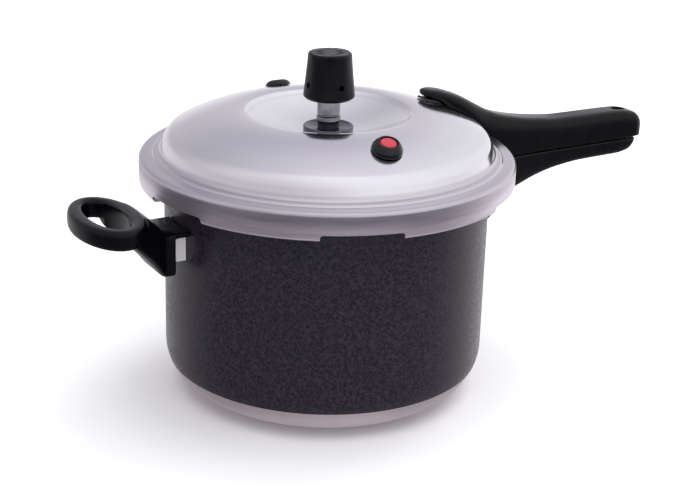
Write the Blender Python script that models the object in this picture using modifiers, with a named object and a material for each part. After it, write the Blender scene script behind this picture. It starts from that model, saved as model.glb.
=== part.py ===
"""Stovetop pressure cooker with a bayonet lid that closes over the outside of the pot.

Frame: the origin is the centre of the pot's underside, +Z is up and +X runs out along the
long handle. Lengths are in metres, written as millimetres times MM.
"""
import math

import bpy
import bmesh
from mathutils import Matrix

MM = 0.001
DEG = math.pi / 180.0

# Clearances and fineness
SEAT_GAP = 0.3 * MM        # between two faces that touch on the real product
SLIDE_GAP = 0.25 * MM      # radial, round a sliding or turning pin
HOLE_GAP = 0.3 * MM        # radial, round a screw, rivet or stem
ROUND_STEPS = 48           # flats round the pot and the lid
SMALL_STEPS = 24           # flats round screws, valves and the weight

# Pot
POT_R = 104.0 * MM         # outside of the wall
POT_WALL = 3.0 * MM
POT_BASE = 5.0 * MM
POT_CORNER = 30.0 * MM     # outside radius between wall and base
POT_H = 147.0 * MM         # top of the rim
LIP_WIDTH = 3.5 * MM       # how far the rim lip stands out of the wall
LIP_T = 3.0 * MM
LUG_COUNT = 6
LUG_ANGLE = 22.0 * DEG
LUG_T = 4.4 * MM
LUG_REACH = 11.8 * MM      # how far a bayonet lug stands out of the wall
LUG_PHASE = -19.5 * DEG    # where the first lug and the first lid tab are centred

# Lid
LID_T = 2.3 * MM
SKIRT_R = POT_R + LUG_REACH + 1.6 * MM + LID_T
SKIRT_EDGE_R = 2.7 * MM    # rounding between flange and skirt
TAB_GAP = 0.5 * MM         # between a lug's underside and the tab's lip
TAB_ANGLE = 36.0 * DEG
TAB_BOTTOM_Z = POT_H - LIP_T - LUG_T - TAB_GAP - LID_T
TAB_CURL_R = 2.8 * MM
TAB_LIP = 6.0 * MM         # straight part of the inward lip
NOTCH_Z = TAB_BOTTOM_Z + 4.3 * MM
GASKET_T = 4.2 * MM
GASKET_LIP_T = 1.9 * MM    # inner lip that the rim presses on
FLANGE_Z = POT_H + SEAT_GAP + GASKET_T + 0.7 * MM + LID_T
FLANGE_RISE = 2.0 * MM     # from the skirt to the foot of the dome
SHOULDER_R = POT_R + 0.8 * MM
SHOULDER_FILLET = 11.0 * MM
SHOULDER_FOOT_Z = FLANGE_Z + 5.8 * MM
CREST_R = 58.0 * MM        # ring where dome and recess meet
DOME_RISE = 12.45 * MM     # from the top of the shoulder fillet to the crest
DOME_POWER = 1.7
SHOULDER_SLOPE = 27.5 * DEG
SHOULDER_TOP_R = SHOULDER_R - SHOULDER_FILLET * (1.0 - math.sin(SHOULDER_SLOPE))
SHOULDER_TOP_Z = SHOULDER_FOOT_Z + SHOULDER_FILLET * math.cos(SHOULDER_SLOPE)
CREST_Z = SHOULDER_TOP_Z + DOME_RISE
RECESS_R = 48.5 * MM       # foot of the step inside the crest
RECESS_STEP = 3.6 * MM
DISH_DEPTH = 14.5 * MM     # crest to recess floor
DISH_FLOOR_R = 16.5 * MM
DISH_POWER = 1.5
FLANGE_FILLET = 3.0 * MM   # between the flange and the foot of the dome
NOTCH_CORNER = 2.5 * MM
LID_BORE = 12.0 * MM       # length of the cutters that pierce the lid

# Vent stem and control weight
STEM_BORE_R = 1.6 * MM
STEM_THREAD_R = 5.0 * MM
STEM_R = 7.25 * MM
STEM_COLLAR_R = 7.7 * MM
STEM_HEX_R = 6.9 * MM
VENT_DISH_R = 16.0 * MM
VENT_DISH_T = 4.0 * MM
VENT_NUT_R = 9.0 * MM
VENT_NUT_T = 4.6 * MM
SEAL_T = 1.5 * MM
WEIGHT_FOOT = 7.4 * MM     # crest to the weight's lower edge
WEIGHT_H = 29.7 * MM
WEIGHT_FOOT_R = 16.3 * MM
WEIGHT_TOP_R = 13.8 * MM
WEIGHT_EDGE_R = 3.6 * MM
CHAMBER_R = 10.5 * MM
CHAMBER_H = 23.0 * MM
NOZZLE_H = 8.6 * MM        # stem top above the weight's lower edge
NOZZLE_R = 4.5 * MM
NEEDLE_R = 2.4 * MM
CORE_H = 8.4 * MM
RETAINER_T = 1.3 * MM
STEAM_HOLE_R = 2.0 * MM
STEAM_HOLE_H = 9.5 * MM    # above the weight's lower edge
STEAM_HOLES = 4

# Pressure indicator and safety plug, on one line through the centre
VALVE_RING_R = 80.5 * MM
INDICATOR_ANGLE = -94.5 * DEG
PLUG_ANGLE = 85.5 * DEG
GROMMET_NECK_R = 7.2 * MM
GROMMET_FLANGE_R = 9.2 * MM
GROMMET_FLANGE_T = 2.4 * MM
INDICATOR_R = 9.9 * MM
INDICATOR_H = 6.8 * MM
PIN_R = 5.4 * MM
PIN_STEM_R = 2.9 * MM
PIN_HEAD_T = 3.4 * MM
PIN_TRAVEL = 3.5 * MM
CLIP_T = 1.3 * MM
PLUG_R = 8.8 * MM
PLUG_H = 4.0 * MM
PLUG_WELL_R = 4.0 * MM      # hollow in the plug's underside
PLUG_WELL_TOP = 1.4 * MM    # its roof, above the lid's outside

# Handles
PARTING_GAP = 1.1 * MM     # shows as the dark line between the two halves
PARTING_Z = TAB_BOTTOM_Z - 0.5 * MM      # top face of the lower half
HANDLE_REACH = 149.0 * MM  # pot wall to the end of the upper half
GRIP_HALF = 11.2 * MM
LID_SEAT = 0.5 * MM        # between the upper half and the lid
STRAP_T = 1.5 * MM
STRAP_HALF = 6.0 * MM
STRAP_FRONT = 33.5 * MM    # front end, measured inward from the pot wall
STRAP_REAR = 6.5 * MM
STRAP_SCREWS = (20.5 * MM, 11.0 * MM)
STRAP_SCREW_RISE = 7.2 * MM  # above the lid's outside
HANG_HOLE_R = 3.6 * MM
HANG_HOLE_STRETCH = 1.5
HANG_HOLE_BACK = 16.0 * MM # from the end of the upper half
SCREW_R = 2.0 * MM
SCREW_HEAD_R = 3.9 * MM
SCREW_HEAD_T = 2.2 * MM
HANDLE_SCREW_L = 13.0 * MM

# Brackets on the pot wall
BRACKET_DROP = 37.5 * MM    # pot rim to the brackets' centre
BRACKET_Z = POT_H - BRACKET_DROP
BRACKET_DEPTH = 9.0 * MM
BRACKET_HALF_W = 10.0 * MM
BRACKET_HALF_H = 8.5 * MM
BRACKET_FACE = 2.4 * MM     # left in front of the rivet bores
BRACKET_ROOT = 4.0 * MM     # how far the uncut block reaches into the wall
PLATE_T = 6.6 * MM
PLATE_HALF_W = 17.0 * MM
PLATE_BELOW = 15.5 * MM    # plate edge below the bracket's centre
HOOD_RISE = 12.5 * MM      # hood top above the bracket's centre
RIVET_R = 2.2 * MM
RIVET_HEAD_R = 3.9 * MM
RIVET_SPREAD = 6.2 * MM

# Side handle loop
LOOP_RISE = 13.7 * MM      # bracket's centre to the loop's underside
LOOP_Z = BRACKET_Z + LOOP_RISE
LOOP_T = 12.3 * MM
LOOP_OUT = 46.8 * MM       # pot wall to the centre of the finger opening
LOOP_HOLE_HALF = (10.6 * MM, 27.5 * MM)
LOOP_BAND = (10.2 * MM, 9.0 * MM)
LOOP_TRIM = 0.2 * MM       # taken off inside the ring where the neck is cut flush with it

COLOURS = {
    "coated": ((0.035, 0.030, 0.036), 0.35, 0.3),
    "aluminium": ((0.82, 0.81, 0.84), 0.22, 1.0),
    "steel": ((0.60, 0.60, 0.62), 0.28, 1.0),
    "brass": ((0.70, 0.55, 0.28), 0.35, 1.0),
    "phenolic": ((0.018, 0.017, 0.019), 0.38, 0.0),
    "rubber": ((0.02, 0.02, 0.022), 0.6, 0.0),
    "gasket": ((0.55, 0.55, 0.55), 0.7, 0.0),
    "red": ((0.62, 0.03, 0.05), 0.45, 0.0),
}


# ---------------------------------------------------------------- scene helpers

def clear_scene():
    for obj in list(bpy.data.objects):
        bpy.data.objects.remove(obj, do_unlink=True)


def new_collection(name):
    collection = bpy.data.collections.new(name)
    bpy.context.scene.collection.children.link(collection)
    return collection


def make_materials():
    made = {}
    for name, (colour, roughness, metallic) in COLOURS.items():
        material = bpy.data.materials.new(name)
        material.use_nodes = True
        shader = material.node_tree.nodes["Principled BSDF"]
        shader.inputs["Base Color"].default_value = (*colour, 1.0)
        shader.inputs["Roughness"].default_value = roughness
        shader.inputs["Metallic"].default_value = metallic
        made[name] = material
    return made


clear_scene()
PARTS = new_collection("pressure_cooker")
CUTTERS = new_collection("cutters")
MATERIALS = make_materials()


def add_object(name, mesh, material=None, matrix=None):
    """Link a mesh as a part, or as a hidden cutter when it has no material."""
    obj = bpy.data.objects.new(name, mesh)
    if matrix is not None:
        obj.matrix_world = matrix
    if material is None:
        CUTTERS.objects.link(obj)
        obj.hide_render = True
        obj.display_type = "WIRE"
    else:
        PARTS.objects.link(obj)
        mesh.materials.append(MATERIALS[material])
    return obj


def finish_mesh(name, bm, smooth=True):
    bmesh.ops.recalc_face_normals(bm, faces=bm.faces)
    mesh = bpy.data.meshes.new(name)
    bm.to_mesh(mesh)
    bm.free()
    if smooth:
        mesh.shade_smooth()
        mesh.set_sharp_from_angle(angle=35 * DEG)
    return mesh


def cut(obj, cutter, operation="DIFFERENCE"):
    modifier = obj.modifiers.new(cutter.name, "BOOLEAN")
    modifier.operation = operation
    modifier.object = cutter


def turned(name, outline, material=None, steps=SMALL_STEPS, matrix=None, closed=False):
    """Turn an outline of (radius, height) points, listed down its outer side, about Z."""
    mesh = bpy.data.meshes.new(name)
    edges = [(i, i + 1) for i in range(len(outline) - 1)]
    if closed:
        edges.append((len(outline) - 1, 0))
    mesh.from_pydata([(r, 0.0, z) for r, z in outline], edges, [])
    obj = add_object(name, mesh, material, matrix)
    screw = obj.modifiers.new("turn", "SCREW")
    screw.axis = "Z"
    screw.angle = 2 * math.pi
    screw.steps = steps
    screw.render_steps = steps
    screw.use_merge_vertices = True
    screw.merge_threshold = 0.00001
    screw.use_smooth_shade = True
    return obj


def cylinder(name, radius, depth, matrix, steps=SMALL_STEPS, material=None, stretch=1.0):
    """A cylinder whose lower face sits at the matrix's origin; stretch widens it along X."""
    bm = bmesh.new()
    bmesh.ops.create_cone(bm, cap_ends=True, segments=steps, radius1=radius,
                          radius2=radius, depth=depth)
    bmesh.ops.translate(bm, verts=bm.verts, vec=(0, 0, depth / 2))
    bmesh.ops.scale(bm, verts=bm.verts, vec=(stretch, 1.0, 1.0))
    return add_object(name, finish_mesh(name, bm), material, matrix)


def block(name, low, high, material=None, matrix=None, bevel=0.0):
    bm = bmesh.new()
    bmesh.ops.create_cube(bm, size=1.0)
    size = [b - a for a, b in zip(low, high)]
    centre = [(a + b) / 2 for a, b in zip(low, high)]
    bmesh.ops.scale(bm, verts=bm.verts, vec=size)
    bmesh.ops.translate(bm, verts=bm.verts, vec=centre)
    if bevel:
        bmesh.ops.bevel(bm, geom=bm.edges[:], offset=bevel, segments=2, profile=0.5,
                        affect="EDGES")
    return add_object(name, finish_mesh(name, bm), material, matrix)


def signed_power(value, power):
    return math.copysign(abs(value) ** power, value)


def section_ring(bm, x, top, bottom, half_width, squareness, points):
    """One rounded cross-section in the YZ plane: 2 is an ellipse, larger is squarer."""
    middle = (top + bottom) / 2
    half_height = (top - bottom) / 2
    ring = []
    for i in range(points):
        angle = 2 * math.pi * i / points
        y = half_width * signed_power(math.cos(angle), 2 / squareness)
        z = middle + half_height * signed_power(math.sin(angle), 2 / squareness)
        ring.append(bm.verts.new((x, y, z)))
    return ring


def bridge(bm, ring_a, ring_b):
    count = len(ring_a)
    for i in range(count):
        j = (i + 1) % count
        bm.faces.new((ring_a[i], ring_a[j], ring_b[j], ring_b[i]))


def loft(name, sections, material=None, matrix=None, points=20):
    """Skin (x, top, bottom, half width, squareness) sections and close both ends."""
    bm = bmesh.new()
    rings = [section_ring(bm, *section, points) for section in sections]
    for ring_a, ring_b in zip(rings, rings[1:]):
        bridge(bm, ring_a, ring_b)
    bm.faces.new(rings[0])
    bm.faces.new(rings[-1])
    return add_object(name, finish_mesh(name, bm), material, matrix)


def arc(centre, radius, start, end, count):
    """Points on an arc; angles run from +radius towards +height."""
    points = []
    for i in range(count + 1):
        angle = start + (end - start) * i / count
        points.append((centre[0] + radius * math.cos(angle), centre[1] + radius * math.sin(angle)))
    return points


def turn_z(angle):
    return Matrix.Rotation(angle, 4, "Z")


# ---------------------------------------------------------------- lid shape

def dome_z(radius):
    """Height of the lid's outside between the crest and the shoulder fillet."""
    share = max(radius - CREST_R, 0.0) / (SHOULDER_TOP_R - CREST_R)
    return CREST_Z - DOME_RISE * share ** DOME_POWER


def dome_tilt(radius):
    """Angle by which the dome's outward normal leans away from +Z."""
    step = 0.5 * MM
    return math.atan2(dome_z(radius - step) - dome_z(radius + step), 2 * step)


def dome_frame(radius, angle):
    """Frame on the dome's outside with its Z axis along the outward normal."""
    place = Matrix.Translation((radius, 0.0, dome_z(radius)))
    return turn_z(angle) @ place @ Matrix.Rotation(dome_tilt(radius), 4, "Y")


def dome_sag(reach):
    """How far the dome falls below a valve's tangent plane at this distance from its axis."""
    tilt = dome_tilt(VALVE_RING_R)
    outward = reach * math.cos(tilt)
    plane_z = dome_z(VALVE_RING_R) - outward * math.tan(tilt)
    return (plane_z - dome_z(VALVE_RING_R + outward)) * math.cos(tilt)


def recess_line():
    """The recess from its floor out to the crest."""
    floor_z = CREST_Z - DISH_DEPTH
    foot_z = CREST_Z - RECESS_STEP
    line = []
    for i in range(6):
        share = i / 5
        radius = DISH_FLOOR_R + (RECESS_R - DISH_FLOOR_R) * share
        line.append((radius, floor_z + (foot_z - floor_z) * share ** DISH_POWER))
    line.append((RECESS_R + 2.0 * MM, CREST_Z - 2.5 * MM))
    line.append((RECESS_R + 4.2 * MM, CREST_Z - 0.6 * MM))
    return line


def lid_line():
    """Outside of the lid from the recess floor to the end of a tab's lip."""
    line = recess_line()
    for i in range(5):
        radius = CREST_R + (SHOULDER_TOP_R - CREST_R) * i / 5
        line.append((radius, dome_z(radius)))
    centre = (SHOULDER_R - SHOULDER_FILLET, SHOULDER_FOOT_Z)
    line += arc(centre, SHOULDER_FILLET, math.pi / 2 - SHOULDER_SLOPE, 0.0, 3)
    foot = FLANGE_Z + FLANGE_RISE
    fillet = (SHOULDER_R + FLANGE_FILLET, foot + FLANGE_FILLET)
    line += arc(fillet, FLANGE_FILLET, math.pi, 1.5 * math.pi, 2)
    line.append((SHOULDER_R + 7.2 * MM, FLANGE_Z + 0.5 * MM))
    edge = (SKIRT_R - SKIRT_EDGE_R, FLANGE_Z - SKIRT_EDGE_R)
    line += arc(edge, SKIRT_EDGE_R, math.pi / 2, 0.0, 2)
    curl = (SKIRT_R - TAB_CURL_R, TAB_BOTTOM_Z + TAB_CURL_R)
    line += arc(curl, TAB_CURL_R, 0.0, -math.pi / 2, 2)
    line.append((SKIRT_R - TAB_CURL_R - TAB_LIP, TAB_BOTTOM_Z))
    return line


def offset_line(line, distance):
    """Move a line outward along its normals, keeping its distance at the corners."""
    moved = []
    for i, (radius, height) in enumerate(line):
        before = line[max(i - 1, 0)]
        after = line[min(i + 1, len(line) - 1)]
        normals = []
        for a, b in ((before, (radius, height)), ((radius, height), after)):
            length = math.hypot(b[0] - a[0], b[1] - a[1])
            if length > 0:
                normals.append(((a[1] - b[1]) / length, (b[0] - a[0]) / length))
        nr = sum(n[0] for n in normals) / len(normals)
        nz = sum(n[1] for n in normals) / len(normals)
        scale = distance / (nr * nr + nz * nz)
        moved.append((radius + nr * scale, height + nz * scale))
    return moved


def lid_envelope(name, clearance):
    """A solid of everything inside the lid's outside, grown by a clearance."""
    side_r = SKIRT_R + clearance
    edge_z = FLANGE_Z - SKIRT_EDGE_R
    bottom_z = PARTING_Z - 20 * MM
    line = [point for point in offset_line(lid_line(), clearance) if point[1] > edge_z + 0.1 * MM]
    outline = [(0.0, line[0][1])] + line + [(side_r, edge_z), (side_r, bottom_z), (0.0, bottom_z)]
    return turned(name, outline, steps=ROUND_STEPS)


def notch_cutter(index):
    """The window between two tabs, with rounded upper corners."""
    middle = LUG_PHASE + (index + 0.5) * 2 * math.pi / LUG_COUNT
    half = math.pi / LUG_COUNT - TAB_ANGLE / 2
    inner, outer = POT_R - 4 * MM, SKIRT_R + 6 * MM
    low = TAB_BOTTOM_Z - 6 * MM
    reach = half * SKIRT_R
    side = [(reach, low), (reach, NOTCH_Z - NOTCH_CORNER),
            (reach - 0.3 * NOTCH_CORNER, NOTCH_Z - 0.3 * NOTCH_CORNER),
            (reach - NOTCH_CORNER, NOTCH_Z)]
    profile = [(-along, z) for along, z in side] + [(0.0, NOTCH_Z)] + side[::-1] + [(0.0, low)]
    bm = bmesh.new()
    rings = []
    for radius in (inner, outer):
        ring = []
        for along, z in profile:
            angle = along / SKIRT_R
            ring.append(bm.verts.new((radius * math.cos(angle), radius * math.sin(angle), z)))
        rings.append(ring)
    bridge(bm, *rings)
    bm.faces.new(rings[0])
    bm.faces.new(rings[1])
    return add_object(f"notch_{index}", finish_mesh("notch", bm), None, turn_z(middle))


def make_lid():
    hole_r = STEM_THREAD_R + HOLE_GAP
    line = [(hole_r, CREST_Z - DISH_DEPTH)] + lid_line()
    lid = turned("lid_shell", line, "aluminium", ROUND_STEPS)
    shell = lid.modifiers.new("thickness", "SOLIDIFY")
    shell.thickness = LID_T
    shell.offset = -1.0
    shell.use_even_offset = True
    for index in range(LUG_COUNT):
        cut(lid, notch_cutter(index))
    halfway = Matrix.Translation((0, 0, -LID_BORE / 2))
    for label, angle in (("indicator", INDICATOR_ANGLE), ("plug", PLUG_ANGLE)):
        frame = dome_frame(VALVE_RING_R, angle) @ halfway
        cut(lid, cylinder(f"{label}_hole", GROMMET_NECK_R + HOLE_GAP, LID_BORE, frame))
    for index, inward in enumerate(STRAP_SCREWS):
        frame = dome_frame(POT_R - inward, 0.0) @ halfway
        cut(lid, cylinder(f"lid_screw_hole_{index}", SCREW_R + HOLE_GAP, LID_BORE, frame, 12))
    return lid


def make_gasket():
    """A ring with a thin inner lip that the rim presses on."""
    low = POT_H + SEAT_GAP
    high = low + GASKET_T
    outer = SKIRT_R - LID_T - 0.4 * MM
    inner = POT_R - POT_WALL + 0.6 * MM
    neck = POT_R + LIP_WIDTH + 1.0 * MM
    bevel = 0.8 * MM
    outline = [(neck, high), (outer, high), (outer, low + bevel), (outer - bevel, low),
               (inner + bevel, low), (inner, low + bevel), (inner + 2 * bevel, low + GASKET_LIP_T),
               (neck - 1.5 * bevel, low + GASKET_LIP_T)]
    turned("lid_gasket", outline, "gasket", ROUND_STEPS, closed=True)


# ---------------------------------------------------------------- pot

def make_pot():
    outer = arc((POT_R - POT_CORNER, POT_CORNER), POT_CORNER, 0.0, -math.pi / 2, 6)
    inner_r = POT_R - POT_WALL
    inner_corner = POT_CORNER - POT_WALL
    centre = (inner_r - inner_corner, POT_BASE + inner_corner)
    inner = arc(centre, inner_corner, -math.pi / 2, 0.0, 6)
    lip_r = POT_R + LIP_WIDTH
    outline = [(inner_r, POT_H), (lip_r - 0.8 * MM, POT_H), (lip_r, POT_H - 0.8 * MM),
               (lip_r, POT_H - LIP_T), (POT_R, POT_H - LIP_T)]
    outline += outer + [(0.0, 0.0)]
    pot = turned("pot_body", [(0.0, POT_BASE)] + inner + outline, "coated", ROUND_STEPS)
    for index in range(LUG_COUNT):
        cut(pot, lug(index), "UNION")
    for angle in (0.0, math.pi):
        for side in (-1, 1):
            frame = wall_frame(angle, side * RIVET_SPREAD, POT_R - 2 * POT_WALL)
            name = f"rivet_hole_{angle:.0f}_{side}"
            cut(pot, cylinder(name, RIVET_R + HOLE_GAP, 4 * POT_WALL, frame, 16))
    return pot


def lug(index):
    """One bayonet lug, rooted in the wall under the rim lip."""
    top = POT_H - LIP_T + 0.4 * MM
    low = POT_H - LIP_T - LUG_T
    edge = POT_R + LUG_REACH
    root = POT_R - POT_WALL / 2
    profile = [(root, top), (edge - 1.0 * MM, top - 0.4 * MM), (edge, top - 1.4 * MM),
               (edge, low + 0.8 * MM), (edge - 0.8 * MM, low), (root, low)]
    bm = bmesh.new()
    steps = 4
    rings = []
    for i in range(steps + 1):
        angle = LUG_ANGLE * (i / steps - 0.5)
        rings.append([bm.verts.new((r * math.cos(angle), r * math.sin(angle), z)) for r, z in profile])
    for ring_a, ring_b in zip(rings, rings[1:]):
        bridge(bm, ring_a, ring_b)
    bm.faces.new(rings[0])
    bm.faces.new(rings[-1])
    middle = LUG_PHASE + index * 2 * math.pi / LUG_COUNT
    return add_object(f"lug_{index}", finish_mesh("lug", bm), None, turn_z(middle))


# ---------------------------------------------------------------- brackets, screws, rivets

def wall_frame(angle, y, x):
    """Frame at the bracket's height whose Z axis points straight out from the pot."""
    place = Matrix.Translation((x, y, BRACKET_Z))
    return turn_z(angle) @ place @ Matrix.Rotation(math.pi / 2, 4, "Y")


def wall_cutter(name):
    """The pot's outside, grown by the seat gap."""
    frame = Matrix.Translation((0, 0, 40 * MM))
    return cylinder(name, POT_R + SEAT_GAP, POT_H, frame, ROUND_STEPS)


def make_bracket(side, angle):
    """A cast block on the wall, with a bore for the screw and blind bores for two rivets."""
    root = POT_R - BRACKET_ROOT
    low = (root, -BRACKET_HALF_W, BRACKET_Z - BRACKET_HALF_H)
    high = (POT_R + BRACKET_DEPTH, BRACKET_HALF_W, BRACKET_Z + BRACKET_HALF_H)
    bracket = block(f"{side}_bracket", low, high, "aluminium", turn_z(angle), 0.6 * MM)
    cut(bracket, wall_cutter(f"{side}_bracket_wall"))
    through = 2 * BRACKET_ROOT + BRACKET_DEPTH
    screw_hole = wall_frame(angle, 0.0, root)
    cut(bracket, cylinder(f"{side}_bracket_bore", SCREW_R + HOLE_GAP, through, screw_hole, 16))
    blind = BRACKET_ROOT + BRACKET_DEPTH - BRACKET_FACE
    for index, y in enumerate((-RIVET_SPREAD, RIVET_SPREAD)):
        frame = wall_frame(angle, y, root)
        cut(bracket, cylinder(f"{side}_bracket_rivet_{index}", RIVET_R + HOLE_GAP, blind, frame, 16))
    return bracket


def make_rivet(name, angle, y):
    """A rivet from inside the pot, with its domed head on the inner wall."""
    inner = POT_R - POT_WALL
    head_x = math.sqrt(inner ** 2 - (abs(y) + RIVET_HEAD_R) ** 2) - SEAT_GAP
    length = POT_R + BRACKET_DEPTH - BRACKET_FACE - SEAT_GAP - head_x
    rise = 1.5 * MM
    outline = [(0.0, length), (RIVET_R, length), (RIVET_R, 0.0), (RIVET_HEAD_R, 0.0),
               (RIVET_HEAD_R * 0.85, -rise * 0.6), (RIVET_HEAD_R * 0.45, -rise), (0.0, -rise)]
    turned(name, outline, "aluminium", 16, wall_frame(angle, y, head_x))


def screw_outline(length, point=1.0 * MM):
    """Pan-head screw: the head's seat is at height 0 and the shaft runs up."""
    return [(0.0, length), (SCREW_R - point / 2, length), (SCREW_R, length - point), (SCREW_R, 0.0),
            (SCREW_HEAD_R, 0.0), (SCREW_HEAD_R, -SCREW_HEAD_T * 0.5),
            (SCREW_HEAD_R * 0.7, -SCREW_HEAD_T), (0.0, -SCREW_HEAD_T)]


def make_handle_screw(name, angle, handle):
    """The screw that pulls a handle onto its bracket, and its counterbore in the handle."""
    seat_x = POT_R + BRACKET_DEPTH + SEAT_GAP + PLATE_T * 0.7
    clear = wall_frame(angle, 0.0, POT_R + BRACKET_DEPTH - 2 * MM)
    cut(handle, cylinder(f"{name}_clear", SCREW_R + HOLE_GAP, 20 * MM, clear, 16))
    bore = wall_frame(angle, 0.0, seat_x)
    cut(handle, cylinder(f"{name}_counterbore", SCREW_HEAD_R + 0.8 * MM, 60 * MM, bore, 20))
    flip = Matrix.Rotation(math.pi, 4, "X")
    frame = wall_frame(angle, 0.0, seat_x + SEAT_GAP) @ flip
    turned(name, screw_outline(HANDLE_SCREW_L), "steel", 16, frame)


# ---------------------------------------------------------------- long handle

def tongue_section(inward, over, under, half_width, squareness):
    """A section of the tongue, measured from the dome below it."""
    x = POT_R - inward
    return (x, dome_z(x) + over, dome_z(x) + under, half_width, squareness)


def grip_section(outward, above, below, half_width, squareness):
    """A section of the upper half, measured from its parting face."""
    base = PARTING_Z + PARTING_GAP
    return (POT_R + outward, base + above, base - below, half_width, squareness)


def along_grip(share, near, far):
    """A distance between two sections of the grip, so that it follows the handle's length."""
    return near + (far - near) * share


def make_upper_handle():
    end = HANDLE_REACH
    near, far = 56.0 * MM, end - 18.0 * MM
    sections = [
        tongue_section(34.0 * MM, 5.4 * MM, 3.4 * MM, 3.4 * MM, 2.2),
        tongue_section(32.4 * MM, 6.9 * MM, 2.6 * MM, 6.2 * MM, 2.4),
        tongue_section(29.0 * MM, 8.1 * MM, 1.9 * MM, 8.8 * MM, 2.6),
        tongue_section(24.0 * MM, 9.2 * MM, 0.6 * MM, 10.4 * MM, 2.8),
        tongue_section(16.0 * MM, 10.2 * MM, -4.0 * MM, 11.8 * MM, 3.0),
        tongue_section(8.0 * MM, 10.9 * MM, -9.0 * MM, 12.6 * MM, 3.0),
        grip_section(0.0, 40.9 * MM, -14.0 * MM, 13.0 * MM, 3.0),
        grip_section(8.0 * MM, 36.5 * MM, 6.0 * MM, 13.2 * MM, 3.2),
        grip_section(16.0 * MM, 32.3 * MM, 20.0 * MM, 13.2 * MM, 3.6),
        grip_section(26.0 * MM, 28.6 * MM, 20.0 * MM, 12.9 * MM, 4.0),
        grip_section(38.0 * MM, 25.5 * MM, 20.0 * MM, 12.4 * MM, 4.4),
        grip_section(near, 22.3 * MM, 20.0 * MM, 11.7 * MM, 5.0),
        grip_section(along_grip(1 / 3, near, far), 19.9 * MM, 19.9 * MM, GRIP_HALF, 5.0),
        grip_section(along_grip(0.73, near, far), 19.7 * MM, 19.7 * MM, GRIP_HALF, 5.0),
        grip_section(far, 19.3 * MM, 19.3 * MM, GRIP_HALF + 0.2 * MM, 5.0),
        grip_section(end - 7.0 * MM, 17.5 * MM, 17.5 * MM, GRIP_HALF, 4.5),
        grip_section(end - 2.0 * MM, 14.2 * MM, 8.0 * MM, 9.6 * MM, 4.0),
        grip_section(end, 10.8 * MM, -2.5 * MM, 7.4 * MM, 3.5),
    ]
    handle = loft("upper_handle", sections, "phenolic")
    cut(handle, lid_envelope("upper_handle_lid", LID_SEAT))
    base = PARTING_Z + PARTING_GAP
    low = (POT_R - 60 * MM, -40 * MM, base - 60 * MM)
    high = (POT_R + end + 20 * MM, 40 * MM, base)
    cut(handle, block("upper_handle_parting", low, high))
    cut(handle, strap("strap_channel", SEAT_GAP))
    for index, inward in enumerate(STRAP_SCREWS):
        frame = dome_frame(POT_R - inward, 0.0)
        depth = STRAP_SCREW_RISE + SEAT_GAP
        cut(handle, cylinder(f"upper_screw_hole_{index}", SCREW_R + HOLE_GAP, depth, frame, 12))
    hole = Matrix.Translation((POT_R + end - HANG_HOLE_BACK, 0, base - 10 * MM))
    cut(handle, cylinder("hang_hole", HANG_HOLE_R, 60 * MM, hole, 20, stretch=HANG_HOLE_STRETCH))
    return handle


def strap(name, grow, material=None):
    """The steel strap between tongue and dome; grown, it cuts its own channel."""
    front = POT_R - STRAP_FRONT - grow
    rear = POT_R - STRAP_REAR + grow
    under = SEAT_GAP - 2 * grow
    over = SEAT_GAP + STRAP_T + grow
    steps = 6
    xs = [front + (rear - front) * i / steps for i in range(steps + 1)]
    outline = [(x, dome_z(x) + over) for x in xs] + [(x, dome_z(x) + under) for x in reversed(xs)]
    half = STRAP_HALF + grow
    bm = bmesh.new()
    rings = [[bm.verts.new((x, y, z)) for x, z in outline] for y in (-half, half)]
    bridge(bm, *rings)
    bm.faces.new(rings[0])
    bm.faces.new(rings[1])
    return add_object(name, finish_mesh(name, bm), material)


def make_upper_bracket():
    bracket = strap("upper_handle_bracket", 0.0, "steel")
    length = STRAP_SCREW_RISE + LID_T
    below = Matrix.Translation((0, 0, -LID_BORE / 3))
    for index, (inward, label) in enumerate(zip(STRAP_SCREWS, ("front", "rear"))):
        frame = dome_frame(POT_R - inward, 0.0)
        hole = cylinder(f"strap_hole_{index}", SCREW_R + HOLE_GAP, LID_BORE, frame @ below, 12)
        cut(bracket, hole)
        seat = frame @ Matrix.Translation((0, 0, -LID_T - SEAT_GAP))
        turned(f"upper_handle_screw_{label}", screw_outline(length), "steel", 12, seat)


def root_section(outward, below, half_width, squareness):
    """A section of the lower half: mirrored about its parting face, then cut there."""
    return (POT_R + outward, PARTING_Z + below, PARTING_Z - below, half_width, squareness)


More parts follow.
